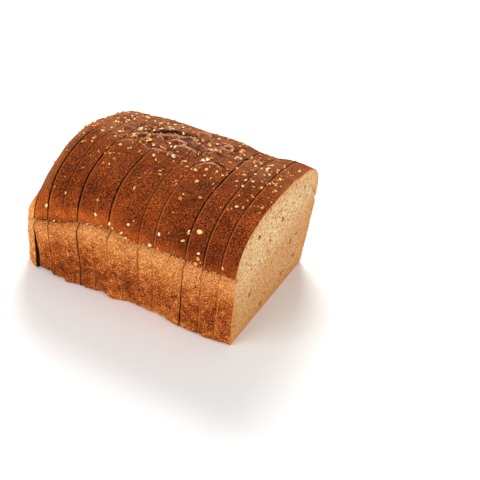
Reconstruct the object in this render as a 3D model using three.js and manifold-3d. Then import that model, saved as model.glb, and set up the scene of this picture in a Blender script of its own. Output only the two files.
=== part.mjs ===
// A multigrain pan loaf, sliced and standing: thirteen slices and the heel, with oat flakes baked
// into the crust. Millimetres. X runs along the loaf with the cut front face at +X, Y runs across
// it and Z is up. Every slice is one closed solid that stands on its own flat base.
import * as THREE from 'three';
import { mergeVertices } from 'three/addons/utils/BufferGeometryUtils.js';
import Module from 'manifold-3d';

const wasm = await Module();
wasm.setup();

// The row of cuts, the slices counted from the front
const SLICE_THICKNESS = [11.3, 11.3, 12.4, 10.6, 11.4, 9.9, 11.2, 11.1, 11.4, 11.5, 11.1, 10.6, 11.2];
const SLICE_COUNT = SLICE_THICKNESS.length;
const HEEL_THICKNESS = 12;
const TIGHT_GAP = 0.35;
const OPEN_GAP = 0.8;
const GAP_WANDER = 0.1;
const OPEN_CUTS = [1, 3, 8, 10, 12];
const CUT_SEED = 7;
const CUT_YAW = 0.35;
const GAP_WEDGE = 0.3;
const HEEL_GAP = 0.45;

// Towards the back the foot of the cuts bends forward, and the heel's only a little
const CUT_BEND = 3.2;
const CUT_BEND_ALONG = [78, 112];
const CUT_BEND_HEIGHT = [10, 40];
const HEEL_BEND_SHARE = 0.4;

// The section: pan wall, recessed crease, overhanging shoulder and domed top
const BASE_HALF_WIDTH = 57.6;
const BULGE_HALF_WIDTH = 62.6;
const BULGE_SHARE = 0.87;
const BULGE_POWER = 1.25;
const SHOULDER_HALF_WIDTH = 62;
const FRONT_SPREAD = 0.022;
const FRONT_SPREAD_LENGTH = 14;
const BASE_WANDER = 1.7;
const BASE_WANDER_LENGTH = 24;
const BASE_STEP = 1;
const FOOT_SWELL = [-1.2, 2, 1.4, -1.8, -2.9, 0.7, 1.4, 3.4, 2.9, 3];
const FOOT_SWELL_STEP = 17.5;
const BASE_EDGE_RADIUS = 3;
const CREASE_FRONT = 54.6;
const CREASE_BACK = 53.3;
const CREASE_CHANGE = [30, 90];
const CREASE_SINK = 12;
const CREASE_SINK_CHANGE = [98, 142];
const CREASE_DEPTH_FRONT = 2.4;
const CREASE_DEPTH_BACK = 5;
const CREASE_DEPTH_CHANGE = [10, 60];
const CREASE_DEPTH_WANDER = 0.25;
const LIP_UNDERCUT = 0.9;
const LIP_DROOP = 0.56;
const LIP_RISE = 1.1;
const DOME_POWER = 2.6;
const DOME_POWER_END = 1.4;
const DOME_POWER_CHANGE = [134, 153];
const CREST_FRONT = 88.5;
const CREST_MIDDLE = 91.5;
const CREST_RISE_LENGTH = 18;
const CREST_SINK_FROM = 98;
const CREST_SINK = 0.0019;
const FAR_SHOULDER_SINK = 1.6;
const FAR_SINK_FADE = 0.35;
const FAR_SHOULDER_DIP = { at: 32, half: 20, depth: 4 };

// The rounded end of the loaf
const END_WALL_RADIUS = 13.9;
const END_TOP_RADIUS = 21.5;
const END_TURN = [21, 95];
const END_BASE_LIFT = 0.24;
const END_FLARE = 0.5;
const END_DRAW = 9;
const END_MIDDLE = 36;
const END_BANDS = 6;

// Unevenness of the crust
const CRUST_SWELL = 0.7;
const CRUST_SWELL_LENGTH = 17;
const CRUST_GRAIN = 0.28;
const CRUST_GRAIN_LENGTH = 6;
const WALL_SWELL_SHARE = 0.9;
const SLICE_STEP = 0.45;
const SLICE_STEP_LENGTH = 38;
const SLICE_APART = 1.7;
const CREASE_WANDER = 1.5;
const CREASE_WANDER_LENGTH = 9;

// Where each kind of unevenness is read from the noise, so that no two run alike
const SEED = { swell: 5, grain: 7, step: 9, crease: 11, depth: 23, base: 31, baseStep: 37, furrow: 61 };
const SIDE_APART = { crease: 3.3, depth: 5.1, base: 2.7 };
const BASE_APART = 2.3;
const WALL_AROUND = 150;
const DOME_AROUND = 60;

// Arched folds of the crust along the crest, each from its back end to its front end. A fold bows
// towards the far side, and its ridge falls off over its near and its far width
const FOLDS = [
  { s: [110, 78], y: [-6, 17], bow: 2, height: 2.6, near: 2.2, far: 5 },
  { s: [102, 88], y: [-8, -1], bow: 7, height: 2.1, near: 5.5, far: 2 },
  { s: [87, 72], y: [0, 3], bow: 2.5, height: 2, near: 3.2, far: 2 },
  { s: [79, 62], y: [-7, -4], bow: 4, height: 2.3, near: 6, far: 2 },
  { s: [92, 68], y: [-16, -14], bow: 2, height: 1.5, near: 2.6, far: 2.2 },
  { s: [81, 70], y: [10, 12], bow: 4, height: 1.7, near: 3, far: 2 },
  { s: [60, 44], y: [-4, 14], bow: 4, height: 2.5, near: 6.5, far: 2 },
  { s: [57, 40], y: [-17, -12], bow: 5, height: 2.1, near: 6, far: 2 },
  { s: [57, 46], y: [14, 16], bow: 7, height: 1.8, near: 3.2, far: 2.2 },
  { s: [113, 91], y: [-23, -16], bow: 7, height: 1.2, near: 5, far: 2.6 },
  { s: [81, 67], y: [20, 26], bow: 7, height: 1.7, near: 4, far: 2.6 },
  { s: [36, 22], y: [6, 12], bow: 4, height: 1.4, near: 4, far: 2.2 },
];
const FURROW = { from: 74, to: 104, near: -1, far: 17, wander: 2, length: 7, width: 2.2, depth: 2.3 };

// How finely the solids are faceted
const BANDS = 3;
const BASE_POINTS = 4;
const EDGE_POINTS = 3;
const WALL_POINTS = 7;
const WALL_POINT_POWER = 0.9;
const DOME_POINTS = 42;

// Where the rows of triangles in a cut face begin and end, and where the lip lies between them
const SECTION_CAP = {
  foot: BASE_POINTS + EDGE_POINTS - 1,
  lip: BASE_POINTS + EDGE_POINTS + WALL_POINTS,
  crown: BASE_POINTS + EDGE_POINTS + WALL_POINTS + 1,
};
const SLAB_CAP = { foot: 2, crown: 3 };

// Oat flakes
const FLAKE_SEED = 2024;
const FLAKE_COUNT = 110;
const FLAKE_RADIUS_LARGE = 2.1;
const FLAKE_RADIUS_SMALL = 1;
const FLAKE_SIZE_POWER = 0.7;
const FLAKE_THICKNESS = 0.8;
const FLAKE_UNDER_SHARE = 0.4;
const FLAKE_CROWN_SHARE = 1.2;
const FLAKE_SIDES = 6;
const FLAKE_TOP_SHARE = 0.72;
const FLAKE_NARROW = [0.52, 0.85];
const FLAKE_TILT = 0.3;
const FLAKE_LIFT = 0.2;
const FLAKE_FRONT = 2;
const FLAKE_BACK = 14;
const FLAKE_MIDDLE = 4;
const FLAKE_SPREAD = 19;
const FLAKE_CREASE_SHARE = 0.2;
const FLAKE_CREASE_BAND = 3.5;
const FLAKE_EDGE = 0.4;
const FLAKE_CLEARANCE = 0.1;
const SLOPE_STEP = 0.6;
const SLAB_FOOT = 28;

const CRUST_COLOUR = 0xa05a2c;
const HEEL_COLOUR = 0xb8713a;

const LENGTH = SLICE_THICKNESS.reduce((sum, thickness) => sum + thickness, HEEL_THICKNESS);

/** Seeded random numbers from 0 to 1. */
function makeRandom(seed) {
  let state = seed >>> 0;
  return () => {
    state = (state + 0x6d2b79f5) >>> 0;
    let t = state;
    t = Math.imul(t ^ (t >>> 15), t | 1);
    t ^= t + Math.imul(t ^ (t >>> 7), t | 61);
    return ((t ^ (t >>> 14)) >>> 0) / 4294967296;
  };
}

/** A fixed value from -1 to 1 for each corner of the noise lattice. */
function lattice(i, j, seed) {
  let h = Math.imul(i, 374761393) + Math.imul(j, 668265263) + Math.imul(seed, 1442695041);
  h = Math.imul(h ^ (h >>> 13), 1274126177);
  return (((h ^ (h >>> 16)) >>> 0) / 4294967296) * 2 - 1;
}

/** Smooth noise from -1 to 1 over two coordinates. */
function noise(x, y, seed) {
  const i = Math.floor(x);
  const j = Math.floor(y);
  const u = THREE.MathUtils.smoothstep(x - i, 0, 1);
  const v = THREE.MathUtils.smoothstep(y - j, 0, 1);
  const low = THREE.MathUtils.lerp(lattice(i, j, seed), lattice(i + 1, j, seed), u);
  const high = THREE.MathUtils.lerp(lattice(i, j + 1, seed), lattice(i + 1, j + 1, seed), u);
  return THREE.MathUtils.lerp(low, high, v);
}

/** Height of the crease above the base, s being the distance behind the front face. */
function creaseHeight(s, side) {
  const change = THREE.MathUtils.smoothstep(s, ...CREASE_CHANGE);
  const level = THREE.MathUtils.lerp(CREASE_FRONT, CREASE_BACK, change);
  const sink = CREASE_SINK * THREE.MathUtils.smoothstep(s, ...CREASE_SINK_CHANGE);
  const wander = noise(s / CREASE_WANDER_LENGTH, side * SIDE_APART.crease, SEED.crease);
  return level - sink + CREASE_WANDER * wander;
}

/** Height of the crest above the base. */
function crestHeight(s) {
  const rise = THREE.MathUtils.smoothstep(s, 0, CREST_RISE_LENGTH);
  const level = THREE.MathUtils.lerp(CREST_FRONT, CREST_MIDDLE, rise);
  return level - CREST_SINK * Math.max(0, s - CREST_SINK_FROM) ** 2;
}

/** How far the crease lies inside the shoulder. */
function creaseDepth(s, side) {
  const change = THREE.MathUtils.smoothstep(s, ...CREASE_DEPTH_CHANGE);
  const depth = THREE.MathUtils.lerp(CREASE_DEPTH_FRONT, CREASE_DEPTH_BACK, change);
  const wander = noise(s / CREASE_WANDER_LENGTH, side * SIDE_APART.depth, SEED.depth);
  return depth * (1 + CREASE_DEPTH_WANDER * wander);
}

/** How far the near foot of the loaf stands out, or in, at a distance along it. */
function footSwell(s) {
  const place = s / FOOT_SWELL_STEP;
  const knot = Math.min(Math.floor(place), FOOT_SWELL.length - 2);
  const share = THREE.MathUtils.smoothstep(place - knot, 0, 1);
  return THREE.MathUtils.lerp(FOOT_SWELL[knot], FOOT_SWELL[knot + 1], share);
}

/** Half width of the base: it wanders along the loaf and steps a little from slice to slice. */
function baseHalfWidth(s, side, slice) {
  const wander = BASE_WANDER * noise(s / BASE_WANDER_LENGTH, side * SIDE_APART.base, SEED.base);
  const step = BASE_STEP * noise(slice * BASE_APART, side, SEED.baseStep);
  return BASE_HALF_WIDTH + wander + step + (side < 0 ? footSwell(s) : 0);
}

/** Half width of the pan wall at a share of the crease height. */
function wallHalfWidth(share, base, crease) {
  if (share < BULGE_SHARE) {
    const flare = (share / BULGE_SHARE) ** BULGE_POWER;
    return THREE.MathUtils.lerp(base, BULGE_HALF_WIDTH, flare);
  }
  const turn = THREE.MathUtils.smoothstep(share, BULGE_SHARE, 1);
  return THREE.MathUtils.lerp(BULGE_HALF_WIDTH, crease, turn);
}

/** Rise of one arched fold at a point of the crest. */
function foldRise(fold, s, y) {
  const along = (s - fold.s[0]) / (fold.s[1] - fold.s[0]);
  if (along <= 0 || along >= 1) {
    return 0;
  }
  const arch = 4 * along * (1 - along);
  const across = y - THREE.MathUtils.lerp(fold.y[0], fold.y[1], along) - fold.bow * arch;
  const width = across < 0 ? fold.near : fold.far;
  return fold.height * Math.sqrt(arch) * Math.exp(-((across / width) ** 2));
}

/** Depth of the long furrow at a point of the crest. */
function furrowDepth(s, y) {
  const along = (s - FURROW.from) / (FURROW.to - FURROW.from);
  if (along <= 0 || along >= 1) {
    return 0;
  }
  const wander = FURROW.wander * noise(s / FURROW.length, 0, SEED.furrow);
  const line = THREE.MathUtils.lerp(FURROW.far, FURROW.near, along) + wander;
  const fade = Math.sqrt(Math.sin(Math.PI * along));
  return FURROW.depth * fade * Math.exp(-(((y - line) / FURROW.width) ** 2));
}

/** Unevenness of the crust, outward, at a distance along the loaf and round the section. */
function crustSwell(s, around, slice) {
  const length = CRUST_SWELL_LENGTH;
  const swell = CRUST_SWELL * noise(s / (2 * length), around / length, SEED.swell);
  const grain = CRUST_GRAIN * noise(s / CRUST_GRAIN_LENGTH, around / CRUST_GRAIN_LENGTH, SEED.grain);
  const step = SLICE_STEP * noise(slice * SLICE_APART, around / SLICE_STEP_LENGTH, SEED.step);
  return swell + grain + step;
}

/** How full the dome is: squarer along the row, rounder at the end. */
function domePower(s) {
  const [from, to] = DOME_POWER_CHANGE;
  return THREE.MathUtils.lerp(DOME_POWER, DOME_POWER_END, THREE.MathUtils.smoothstep(s, from, to));
}

/** Height of the domed top over a place across the loaf. */
function domeHeight(s, y, base) {
  const top = crestHeight(s);
  const share = Math.min(1, Math.abs(y) / SHOULDER_HALF_WIDTH);
  const power = domePower(s);
  const rise = (1 - share ** power) ** (1 / power);
  const fade = Math.min(1, rise / FAR_SINK_FADE);
  const sink = y > 0 ? farSink(s) * share * share * fade : 0;
  return base + (top - base) * rise - sink;
}

/** How much lower the far shoulder stands than the near one. */
function farSink(s) {
  const { at, half, depth } = FAR_SHOULDER_DIP;
  const dip = Math.max(0, 1 - ((s - at) / half) ** 2);
  return FAR_SHOULDER_SINK * THREE.MathUtils.smoothstep(s, 0, at) + depth * dip;
}

/** Height that the folds and the furrow add to the crest at a place. */
function creaseWork(s, y) {
  return FOLDS.reduce((sum, fold) => sum + foldRise(fold, s, y), -furrowDepth(s, y));
}

/** One side of the section from the middle of the base up to the lip of the shoulder. */
function lowerSide(s, side, slice) {
  const height = creaseHeight(s, side);
  const shoulder = SHOULDER_HALF_WIDTH + crustSwell(s, side * (WALL_AROUND + height), slice);
  const crease = SHOULDER_HALF_WIDTH - creaseDepth(s, side);
  const base = baseHalfWidth(s, side, slice);
  const points = [];
  for (let k = 0; k < BASE_POINTS; k += 1) {
    points.push([side * (base - BASE_EDGE_RADIUS) * (k / (BASE_POINTS - 1)), 0]);
  }
  for (let k = 1; k <= EDGE_POINTS; k += 1) {
    const angle = (Math.PI / 2) * (k / EDGE_POINTS);
    const y = base - BASE_EDGE_RADIUS * (1 - Math.sin(angle));
    points.push([side * y, BASE_EDGE_RADIUS * (1 - Math.cos(angle))]);
  }
  for (let k = 1; k <= WALL_POINTS; k += 1) {
    const rise = (k / WALL_POINTS) ** WALL_POINT_POWER;
    const share = THREE.MathUtils.lerp(BASE_EDGE_RADIUS / height, 1, rise);
    const swell = WALL_SWELL_SHARE * crustSwell(s, side * (WALL_AROUND + height * share), slice);
    const wall = wallHalfWidth(share, base, crease) + (k < WALL_POINTS ? swell : 0);
    points.push([side * wall, height * share]);
  }
  points.push([side * (shoulder - LIP_UNDERCUT), height - LIP_DROOP]);
  points.push([side * shoulder, height + LIP_RISE]);
  return points;
}

/** The domed top from the lip on the near side to the lip on the far side. */
function domeTop(s, slice) {
  const points = [];
  for (let k = 1; k < DOME_POINTS; k += 1) {
    const c = Math.cos(Math.PI * (k / DOME_POINTS));
    const y = -SHOULDER_HALF_WIDTH * Math.sign(c) * Math.abs(c) ** (2 / domePower(s));
    const base = creaseHeight(s, Math.sign(y) || 1) + LIP_RISE;
    const out = crustSwell(s, DOME_AROUND + y, slice);
    const lean = (y / SHOULDER_HALF_WIDTH) ** 2;
    const z = domeHeight(s, y, base) + out * (1 - lean) + creaseWork(s, y);
    points.push([y + Math.sign(y) * out * lean, z]);
  }
  return points;
}

/** How far a rounded edge of some radius has turned in, from 0 to 1, near the end of the loaf. */
function endTurn(s, radius) {
  const past = THREE.MathUtils.clamp((s - LENGTH + radius) / radius, 0, 1);
  return 1 - Math.sqrt(1 - past * past);
}

/** A place in the section, drawn in where the end of the loaf is rounded off. */
function drawIn(s, y, z) {
  const top = crestHeight(s);
  const upper = THREE.MathUtils.smoothstep(z, ...END_TURN);
  const radius = THREE.MathUtils.lerp(END_WALL_RADIUS, END_TOP_RADIUS, upper);
  const across = y * (1 - (radius * endTurn(s, radius)) / SHOULDER_HALF_WIDTH);
  if (z > END_MIDDLE) {
    const inset = END_TOP_RADIUS * endTurn(s, END_TOP_RADIUS);
    return [across, END_MIDDLE + (z - END_MIDDLE) * (1 - inset / (top - END_MIDDLE))];
  }
  const lift = END_BASE_LIFT * END_WALL_RADIUS * endTurn(s, END_WALL_RADIUS);
  return [across, z + (1 - z / END_MIDDLE) * lift];
}

/** The closed section at a distance behind the front face, counter-clockwise seen from +X. */
function section(s, slice) {
  const near = lowerSide(s, -1, slice);
  const far = lowerSide(s, 1, slice);
  const top = domeTop(s, slice);
  const spread = 1 + FRONT_SPREAD * (1 - THREE.MathUtils.smoothstep(s, 0, FRONT_SPREAD_LENGTH));
  const ring = [...far, ...top.reverse(), ...near.slice(1).reverse()];
  return ring.map(([y, z]) => drawIn(s, y * spread, z));
}

/** Where a cut stands at a place in the section: it may be turned, and bent at its foot. */
function cutPlace(cut, y, z) {
  const low = 1 - THREE.MathUtils.smoothstep(z, ...CUT_BEND_HEIGHT);
  return cut.x + Math.tan(cut.yaw) * y + cut.bend * low;
}

/** The two faces of every cut, the one behind the slice in front and the one before the next. */
function makeCuts() {
  const random = makeRandom(CUT_SEED);
  const degree = THREE.MathUtils.DEG2RAD;
  const cuts = [{ front: null, back: { x: 0, yaw: 0, bend: 0 } }];
  let middle = 0;
  for (let k = 1; k <= SLICE_COUNT; k += 1) {
    middle -= SLICE_THICKNESS[k - 1];
    const open = OPEN_CUTS.includes(k);
    const gap = (open ? OPEN_GAP : TIGHT_GAP) + GAP_WANDER * random();
    const yaw = CUT_YAW * (2 * random() - 1) * degree;
    const wedge = open ? GAP_WEDGE * (random() - 0.5) * degree : 0;
    const bend = CUT_BEND * THREE.MathUtils.smoothstep(-middle, ...CUT_BEND_ALONG);
    cuts.push({
      front: { x: middle + gap / 2, yaw: yaw + wedge, bend },
      back: { x: middle - gap / 2, yaw: yaw - wedge, bend },
    });
  }
  const { front } = cuts[SLICE_COUNT];
  cuts[SLICE_COUNT].back = { ...front, x: front.x - HEEL_GAP, bend: HEEL_BEND_SHARE * front.bend };
  return cuts;
}

const CUTS = makeCuts();

/**
 * Triangles that close a ring. Between its foot and its crown they run in rows from side to side,
 * so that the two faces of a bent cut keep apart. A lip that juts out between two rows is an ear.
 */
function capTriangles(ring, { foot, crown, lip }) {
  const count = ring.length;
  const place = (k) => (k + count) % count;
  const triangles = crownTriangles(ring, crown);
  for (let k = 1 - foot; k < foot; k += 1) {
    triangles.push([place(-foot), place(k), place(k + 1)]);
  }
  for (let low = foot; low < crown; low += 1) {
    const high = low + 1 === lip ? lip + 1 : low + 1;
    if (low !== lip) {
      triangles.push([low, high, place(-high)], [low, place(-high), place(-low)]);
    } else {
      triangles.push([lip - 1, lip, lip + 1], [place(-lip - 1), place(-lip), place(1 - lip)]);
    }
  }
  return triangles;
}

/** Triangles that close the part of a ring above its crown points. */
function crownTriangles(ring, crown) {
  const top = ring.slice(crown, ring.length - crown + 1);
  const outline = top.map(([, y, z]) => new THREE.Vector2(y, z));
  return THREE.ShapeUtils.triangulateShape(outline, []).map((corners) => corners.map((k) => k + crown));
}

/** A closed geometry from rings of points that follow one another along -X. */
function loft(rings, cap) {
  const count = rings[0].length;
  const positions = rings.flat(2);
  const indices = [];
  for (let r = 0; r + 1 < rings.length; r += 1) {
    for (let k = 0; k < count; k += 1) {
      const a = r * count + k;
      const b = r * count + ((k + 1) % count);
      indices.push(a, a + count, b, b, a + count, b + count);
    }
  }
  const last = (rings.length - 1) * count;
  for (const [a, b, c] of capTriangles(rings[0], cap)) {
    indices.push(a, b, c);
  }
  for (const [a, b, c] of capTriangles(rings[rings.length - 1], cap)) {
    indices.push(last + a, last + c, last + b);
  }
  const geometry = new THREE.BufferGeometry();
  geometry.setAttribute('position', new THREE.Float32BufferAttribute(positions, 3));
  geometry.setIndex(indices);
  return geometry;
}

/** The body of one slice, between the cut in front of it and the cut behind it. */
function sliceGeometry(index) {
  const front = CUTS[index - 1].back;
  const back = CUTS[index].front;
  const rings = [];
  for (let r = 0; r <= BANDS; r += 1) {
    const share = r / BANDS;
    const s = -THREE.MathUtils.lerp(front.x, back.x, share);
    rings.push(section(s, index).map(([y, z]) => [
      THREE.MathUtils.lerp(cutPlace(front, y, z), cutPlace(back, y, z), share), y, z,
    ]));
  }
  return loft(rings, SECTION_CAP);
}

/** Where the outer end of the loaf stands at a height: the pan end flares, the top draws in. */
function endPlace(z) {
  const crease = creaseHeight(LENGTH, -1);
  const flare = END_FLARE * Math.min(1, z / crease);
  const draw = THREE.MathUtils.clamp((z - crease) / (crestHeight(LENGTH) - crease), 0, 1);
  return -(LENGTH - END_FLARE + flare - END_DRAW * draw);
}

/** The heel: the loaf's rounded end behind the last cut. */
function heelGeometry() {
  const front = CUTS[SLICE_COUNT].back;
  const rings = [];
  for (let r = 0; r <= END_BANDS; r += 1) {
    const share = Math.sin((Math.PI / 2) * (r / END_BANDS));
    const s = -THREE.MathUtils.lerp(front.x, -LENGTH, share);
    rings.push(section(s, SLICE_COUNT + 1).map(([y, z]) => [
      THREE.MathUtils.lerp(cutPlace(front, y, z), endPlace(z), share), y, z,
    ]));
  }
  return loft(rings, SECTION_CAP);
}

/** A Manifold solid from a closed three.js geometry. */
function toManifold(geometry) {
  const bare = geometry.clone();
  bare.deleteAttribute('normal');
  bare.deleteAttribute('uv');
  const merged = mergeVertices(bare, 1e-5);
  const mesh = new wasm.Mesh({
    numProp: 3,
    vertProperties: new Float32Array(merged.attributes.position.array),
    triVerts: new Uint32Array(merged.index.array),
  });
  return new wasm.Manifold(mesh);
}

/** A three.js geometry from a Manifold solid. */
function toGeometry(solid) {
  const mesh = solid.getMesh();
  const geometry = new THREE.BufferGeometry();
  geometry.setAttribute('position', new THREE.BufferAttribute(new Float32Array(mesh.vertProperties), 3));
  geometry.setIndex(new THREE.BufferAttribute(new Uint32Array(mesh.triVerts), 1));
  geometry.computeVertexNormals();
  return geometry;
}

/** The largest separate piece of a solid: loose scraps are dropped. */
function largestPiece(solid) {
  const pieces = solid.decompose();
  return pieces.reduce((best, piece) => (piece.volume() > best.volume() ? piece : best));
}

/** A flat, irregular oat flake lying on the XY plane. */
function flakeGeometry(radius, random) {
  const half = FLAKE_THICKNESS / 2;
  const profile = [
    new THREE.Vector2(0, -half),
    new THREE.Vector2(radius, -half * FLAKE_UNDER_SHARE),
    new THREE.Vector2(radius * FLAKE_TOP_SHARE, half),
    new THREE.Vector2(0, half * FLAKE_CROWN_SHARE),
  ];
  const geometry = new THREE.LatheGeometry(profile, FLAKE_SIDES);
  geometry.rotateX(Math.PI / 2);
  geometry.scale(1, THREE.MathUtils.lerp(...FLAKE_NARROW, random()), 1);
  return geometry;
}

/** The place, size and solid of each flake, the largest first. */
function layFlakes() {
  const random = makeRandom(FLAKE_SEED);
  const reach = SHOULDER_HALF_WIDTH - FLAKE_EDGE;
  const flakes = [];
  for (let k = 0; k < FLAKE_COUNT; k += 1) {
    const size = ((k + 0.5) / FLAKE_COUNT) ** FLAKE_SIZE_POWER;
    const radius = THREE.MathUtils.lerp(FLAKE_RADIUS_LARGE, FLAKE_RADIUS_SMALL, size);
    const s = THREE.MathUtils.lerp(FLAKE_FRONT, LENGTH - FLAKE_BACK, random());
    const spread = FLAKE_MIDDLE + (random() + random() + random() - 1.5) * 2 * FLAKE_SPREAD;
    const side = random() < 0.5 ? -1 : 1;
    const onCrease = random() < FLAKE_CREASE_SHARE;
    const y = onCrease ? side * (SHOULDER_HALF_WIDTH - FLAKE_CREASE_BAND * random()) : spread;
    flakes.push({ s, y: THREE.MathUtils.clamp(y, -reach, reach), radius });
  }
  return flakes.map((flake) => ({ ...flake, geometry: placeFlake(flake, random) }));
}

/** Height of the crust over a place, folds and all. */
function crustHeight(s, y) {
  const base = creaseHeight(s, y < 0 ? -1 : 1) + LIP_RISE;
  return domeHeight(s, y, base) + creaseWork(s, y) + crustSwell(s, DOME_AROUND + y, 0) / 2;
}

/** A flake laid on the crust where it belongs, pressed in and tilted a little. */
function placeFlake(flake, random) {
  const { s, y, radius } = flake;
  const z = crustHeight(s, y);
  const inner = y - (Math.sign(y) || 1) * SLOPE_STEP;
  const slope = (crustHeight(s, inner) - z) / (inner - y);
  const along = (crustHeight(s + SLOPE_STEP, y) - crustHeight(s - SLOPE_STEP, y)) / (2 * SLOPE_STEP);
  const normal = new THREE.Vector3(along, -slope, 1).normalize();
  normal.x += FLAKE_TILT * (random() - 0.5);
  normal.y += FLAKE_TILT * (random() - 0.5);
  normal.normalize();
  const geometry = flakeGeometry(radius, random);
  geometry.rotateZ(random() * Math.PI);
  geometry.applyQuaternion(new THREE.Quaternion().setFromUnitVectors(new THREE.Vector3(0, 0, 1), normal));
  const place = new THREE.Vector3(-s, y, z).addScaledVector(normal, FLAKE_LIFT);
  geometry.translate(place.x, place.y, place.z);
  return geometry;
}

/** The space that belongs to one slice, a hair inside its two faces. */
function slabGeometry(index) {
  const reach = 2 * SHOULDER_HALF_WIDTH;
  const side = [SLAB_FOOT, (SLAB_FOOT + CUT_BEND_HEIGHT[1]) / 2, CUT_BEND_HEIGHT[1], reach];
  const far = side.map((z) => [reach, z]);
  const near = side.map((z) => [-reach, z]).reverse();
  const corners = [[0, SLAB_FOOT], ...far, ...near];
  const ring = (cut, shift) => corners.map(([y, z]) => [cutPlace(cut, y, z) + shift, y, z]);
  return loft([
    ring(CUTS[index - 1].back, -FLAKE_CLEARANCE),
    ring(CUTS[index].front, FLAKE_CLEARANCE),
  ], SLAB_CAP);
}

const FLAKES = layFlakes();

/** A slice with the flakes that lie on it fused to its crust. */
function sliceWithFlakes(index) {
  let solid = toManifold(sliceGeometry(index));
  const slab = toManifold(slabGeometry(index));
  const front = -CUTS[index - 1].back.x;
  const back = -CUTS[index].front.x;
  for (const flake of FLAKES) {
    if (flake.s > front - flake.radius && flake.s < back + flake.radius) {
      solid = solid.add(toManifold(flake.geometry).intersect(slab));
    }
  }
  return largestPiece(solid);
}

/** A named mesh with its own material. */
function makeMesh(name, solid, colour) {
  const material = new THREE.MeshStandardMaterial({ color: colour, roughness: 0.7, metalness: 0 });
  const mesh = new THREE.Mesh(toGeometry(solid), material);
  mesh.name = name;
  return mesh;
}

/** The whole loaf, moved so that the middle of its base lies at the origin. */
function buildLoaf() {
  const group = new THREE.Group();
  for (let index = 1; index <= SLICE_COUNT; index += 1) {
    const name = `slice_${String(index).padStart(2, '0')}`;
    group.add(makeMesh(name, sliceWithFlakes(index), CRUST_COLOUR));
  }
  group.add(makeMesh('heel', toManifold(heelGeometry()), HEEL_COLOUR));
  const box = new THREE.Box3().setFromObject(group);
  const centre = box.getCenter(new THREE.Vector3());
  for (const mesh of group.children) {
    mesh.geometry.translate(-centre.x, -centre.y, -box.min.z);
  }
  return group;
}

export default buildLoaf();
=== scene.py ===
"""The looks of a sliced multigrain pan loaf: crusts, crumb, oat flakes, seeds and the studio.

The shapes follow the row's own section, worked out from the same driving dimensions. Lengths are
millimetres, with s the distance behind the front face, until a mesh is written: meshes are in
metres in the row frame.
"""

import logging
import math
from collections.abc import Iterable, Mapping
from dataclasses import dataclass
from enum import Enum, IntEnum

import bmesh
import bpy
import numpy as np
from mathutils import Matrix, Vector
from mathutils.kdtree import KDTree


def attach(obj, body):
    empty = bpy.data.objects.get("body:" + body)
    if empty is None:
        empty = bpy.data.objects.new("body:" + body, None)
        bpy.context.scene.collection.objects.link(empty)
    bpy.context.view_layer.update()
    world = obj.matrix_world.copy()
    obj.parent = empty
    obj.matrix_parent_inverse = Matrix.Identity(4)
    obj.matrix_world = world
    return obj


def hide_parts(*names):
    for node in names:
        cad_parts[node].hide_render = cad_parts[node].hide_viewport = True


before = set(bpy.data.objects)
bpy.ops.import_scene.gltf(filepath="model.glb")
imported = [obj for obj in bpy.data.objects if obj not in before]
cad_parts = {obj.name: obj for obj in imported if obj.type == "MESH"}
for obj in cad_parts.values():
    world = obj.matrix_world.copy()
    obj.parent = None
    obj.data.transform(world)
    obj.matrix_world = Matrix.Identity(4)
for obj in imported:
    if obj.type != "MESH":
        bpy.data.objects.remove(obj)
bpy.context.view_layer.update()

LOG = logging.getLogger("loaf")
MILLIMETRE = 0.001
# Where the middle of the front face's foot lies in the row frame, in millimetres.
ROW_SHIFT = (78.4988, -0.2575, 0.0)
MASK = 0xFFFFFFFF
TINY = 1e-6
PIT_JITTER = 0.4
PIT_STRETCH = 1.35
PIT_FLOOR = 0.35
Array = np.ndarray
Curve = tuple[Array, Array]
Span = tuple[float, float]
Patches = tuple[tuple[float, float, int], ...]
Colour = tuple[float, float, float, float]
Tones = tuple[tuple[float, Colour], ...]
Draw = np.random.Generator
Spot = tuple[Vector, Vector, int | None]
Material = bpy.types.Material
Tree = bpy.types.NodeTree
Socket = bpy.types.NodeSocket
Sockets = Mapping[str, Socket]


class Seed(IntEnum):
    """Which noise each unevenness follows."""

    SWELL = 5
    GRAIN = 7
    SLICE_STEP = 9
    FURROW = 61
    LUMPS = 101
    CRUST_GRAIN = 103
    WORMS = 105
    PITS = 107
    WRINKLE_WARP = 109
    WRINKLES = 111
    FINE_WRINKLES = 113
    FOLDS = 117
    PORES = 200
    SLICE_TONE = 401
    LARGE_TONES = 403
    SMALL_TONES = 405
    LARGE_SHEEN = 411
    SMALL_SHEEN = 413
    BIT_SWELL = 601
    BIT_CURL = 603


def linear(red: int, green: int, blue: int) -> Colour:
    """A colour given as it looks on a screen, from 0 to 255, made linear for a shader."""
    shares = [value / 255 for value in (red, green, blue)]
    made = [s / 12.92 if s <= 0.04045 else ((s + 0.055) / 1.055) ** 2.4 for s in shares]
    return (*made, 1.0)


def screen_tones(*rows: tuple[float, int, int, int]) -> Tones:
    """The tones of a colour ramp: the place of each one and its colour as it looks on a screen."""
    return tuple((place, linear(*colour)) for place, *colour in rows)


def smoothstep(value: Array, low: float, high: float) -> Array:
    """A smooth step from 0 at low to 1 at high."""
    share = np.clip((value - low) / (high - low), 0, 1)
    return share * share * (3 - 2 * share)


def lerp(low: Array, high: Array, share: Array) -> Array:
    """The value at a share of the way from low to high."""
    return low + (high - low) * share


def bell(value: Array, width: float) -> Array:
    """A bell curve, 1 in its middle."""
    return np.exp(-((value / width) ** 2))


def ridged(value: Array) -> Array:
    """Noise from -1 to 1 folded over, so that it has sharp ridges at 1."""
    return 1 - 2 * np.abs(value)


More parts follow.
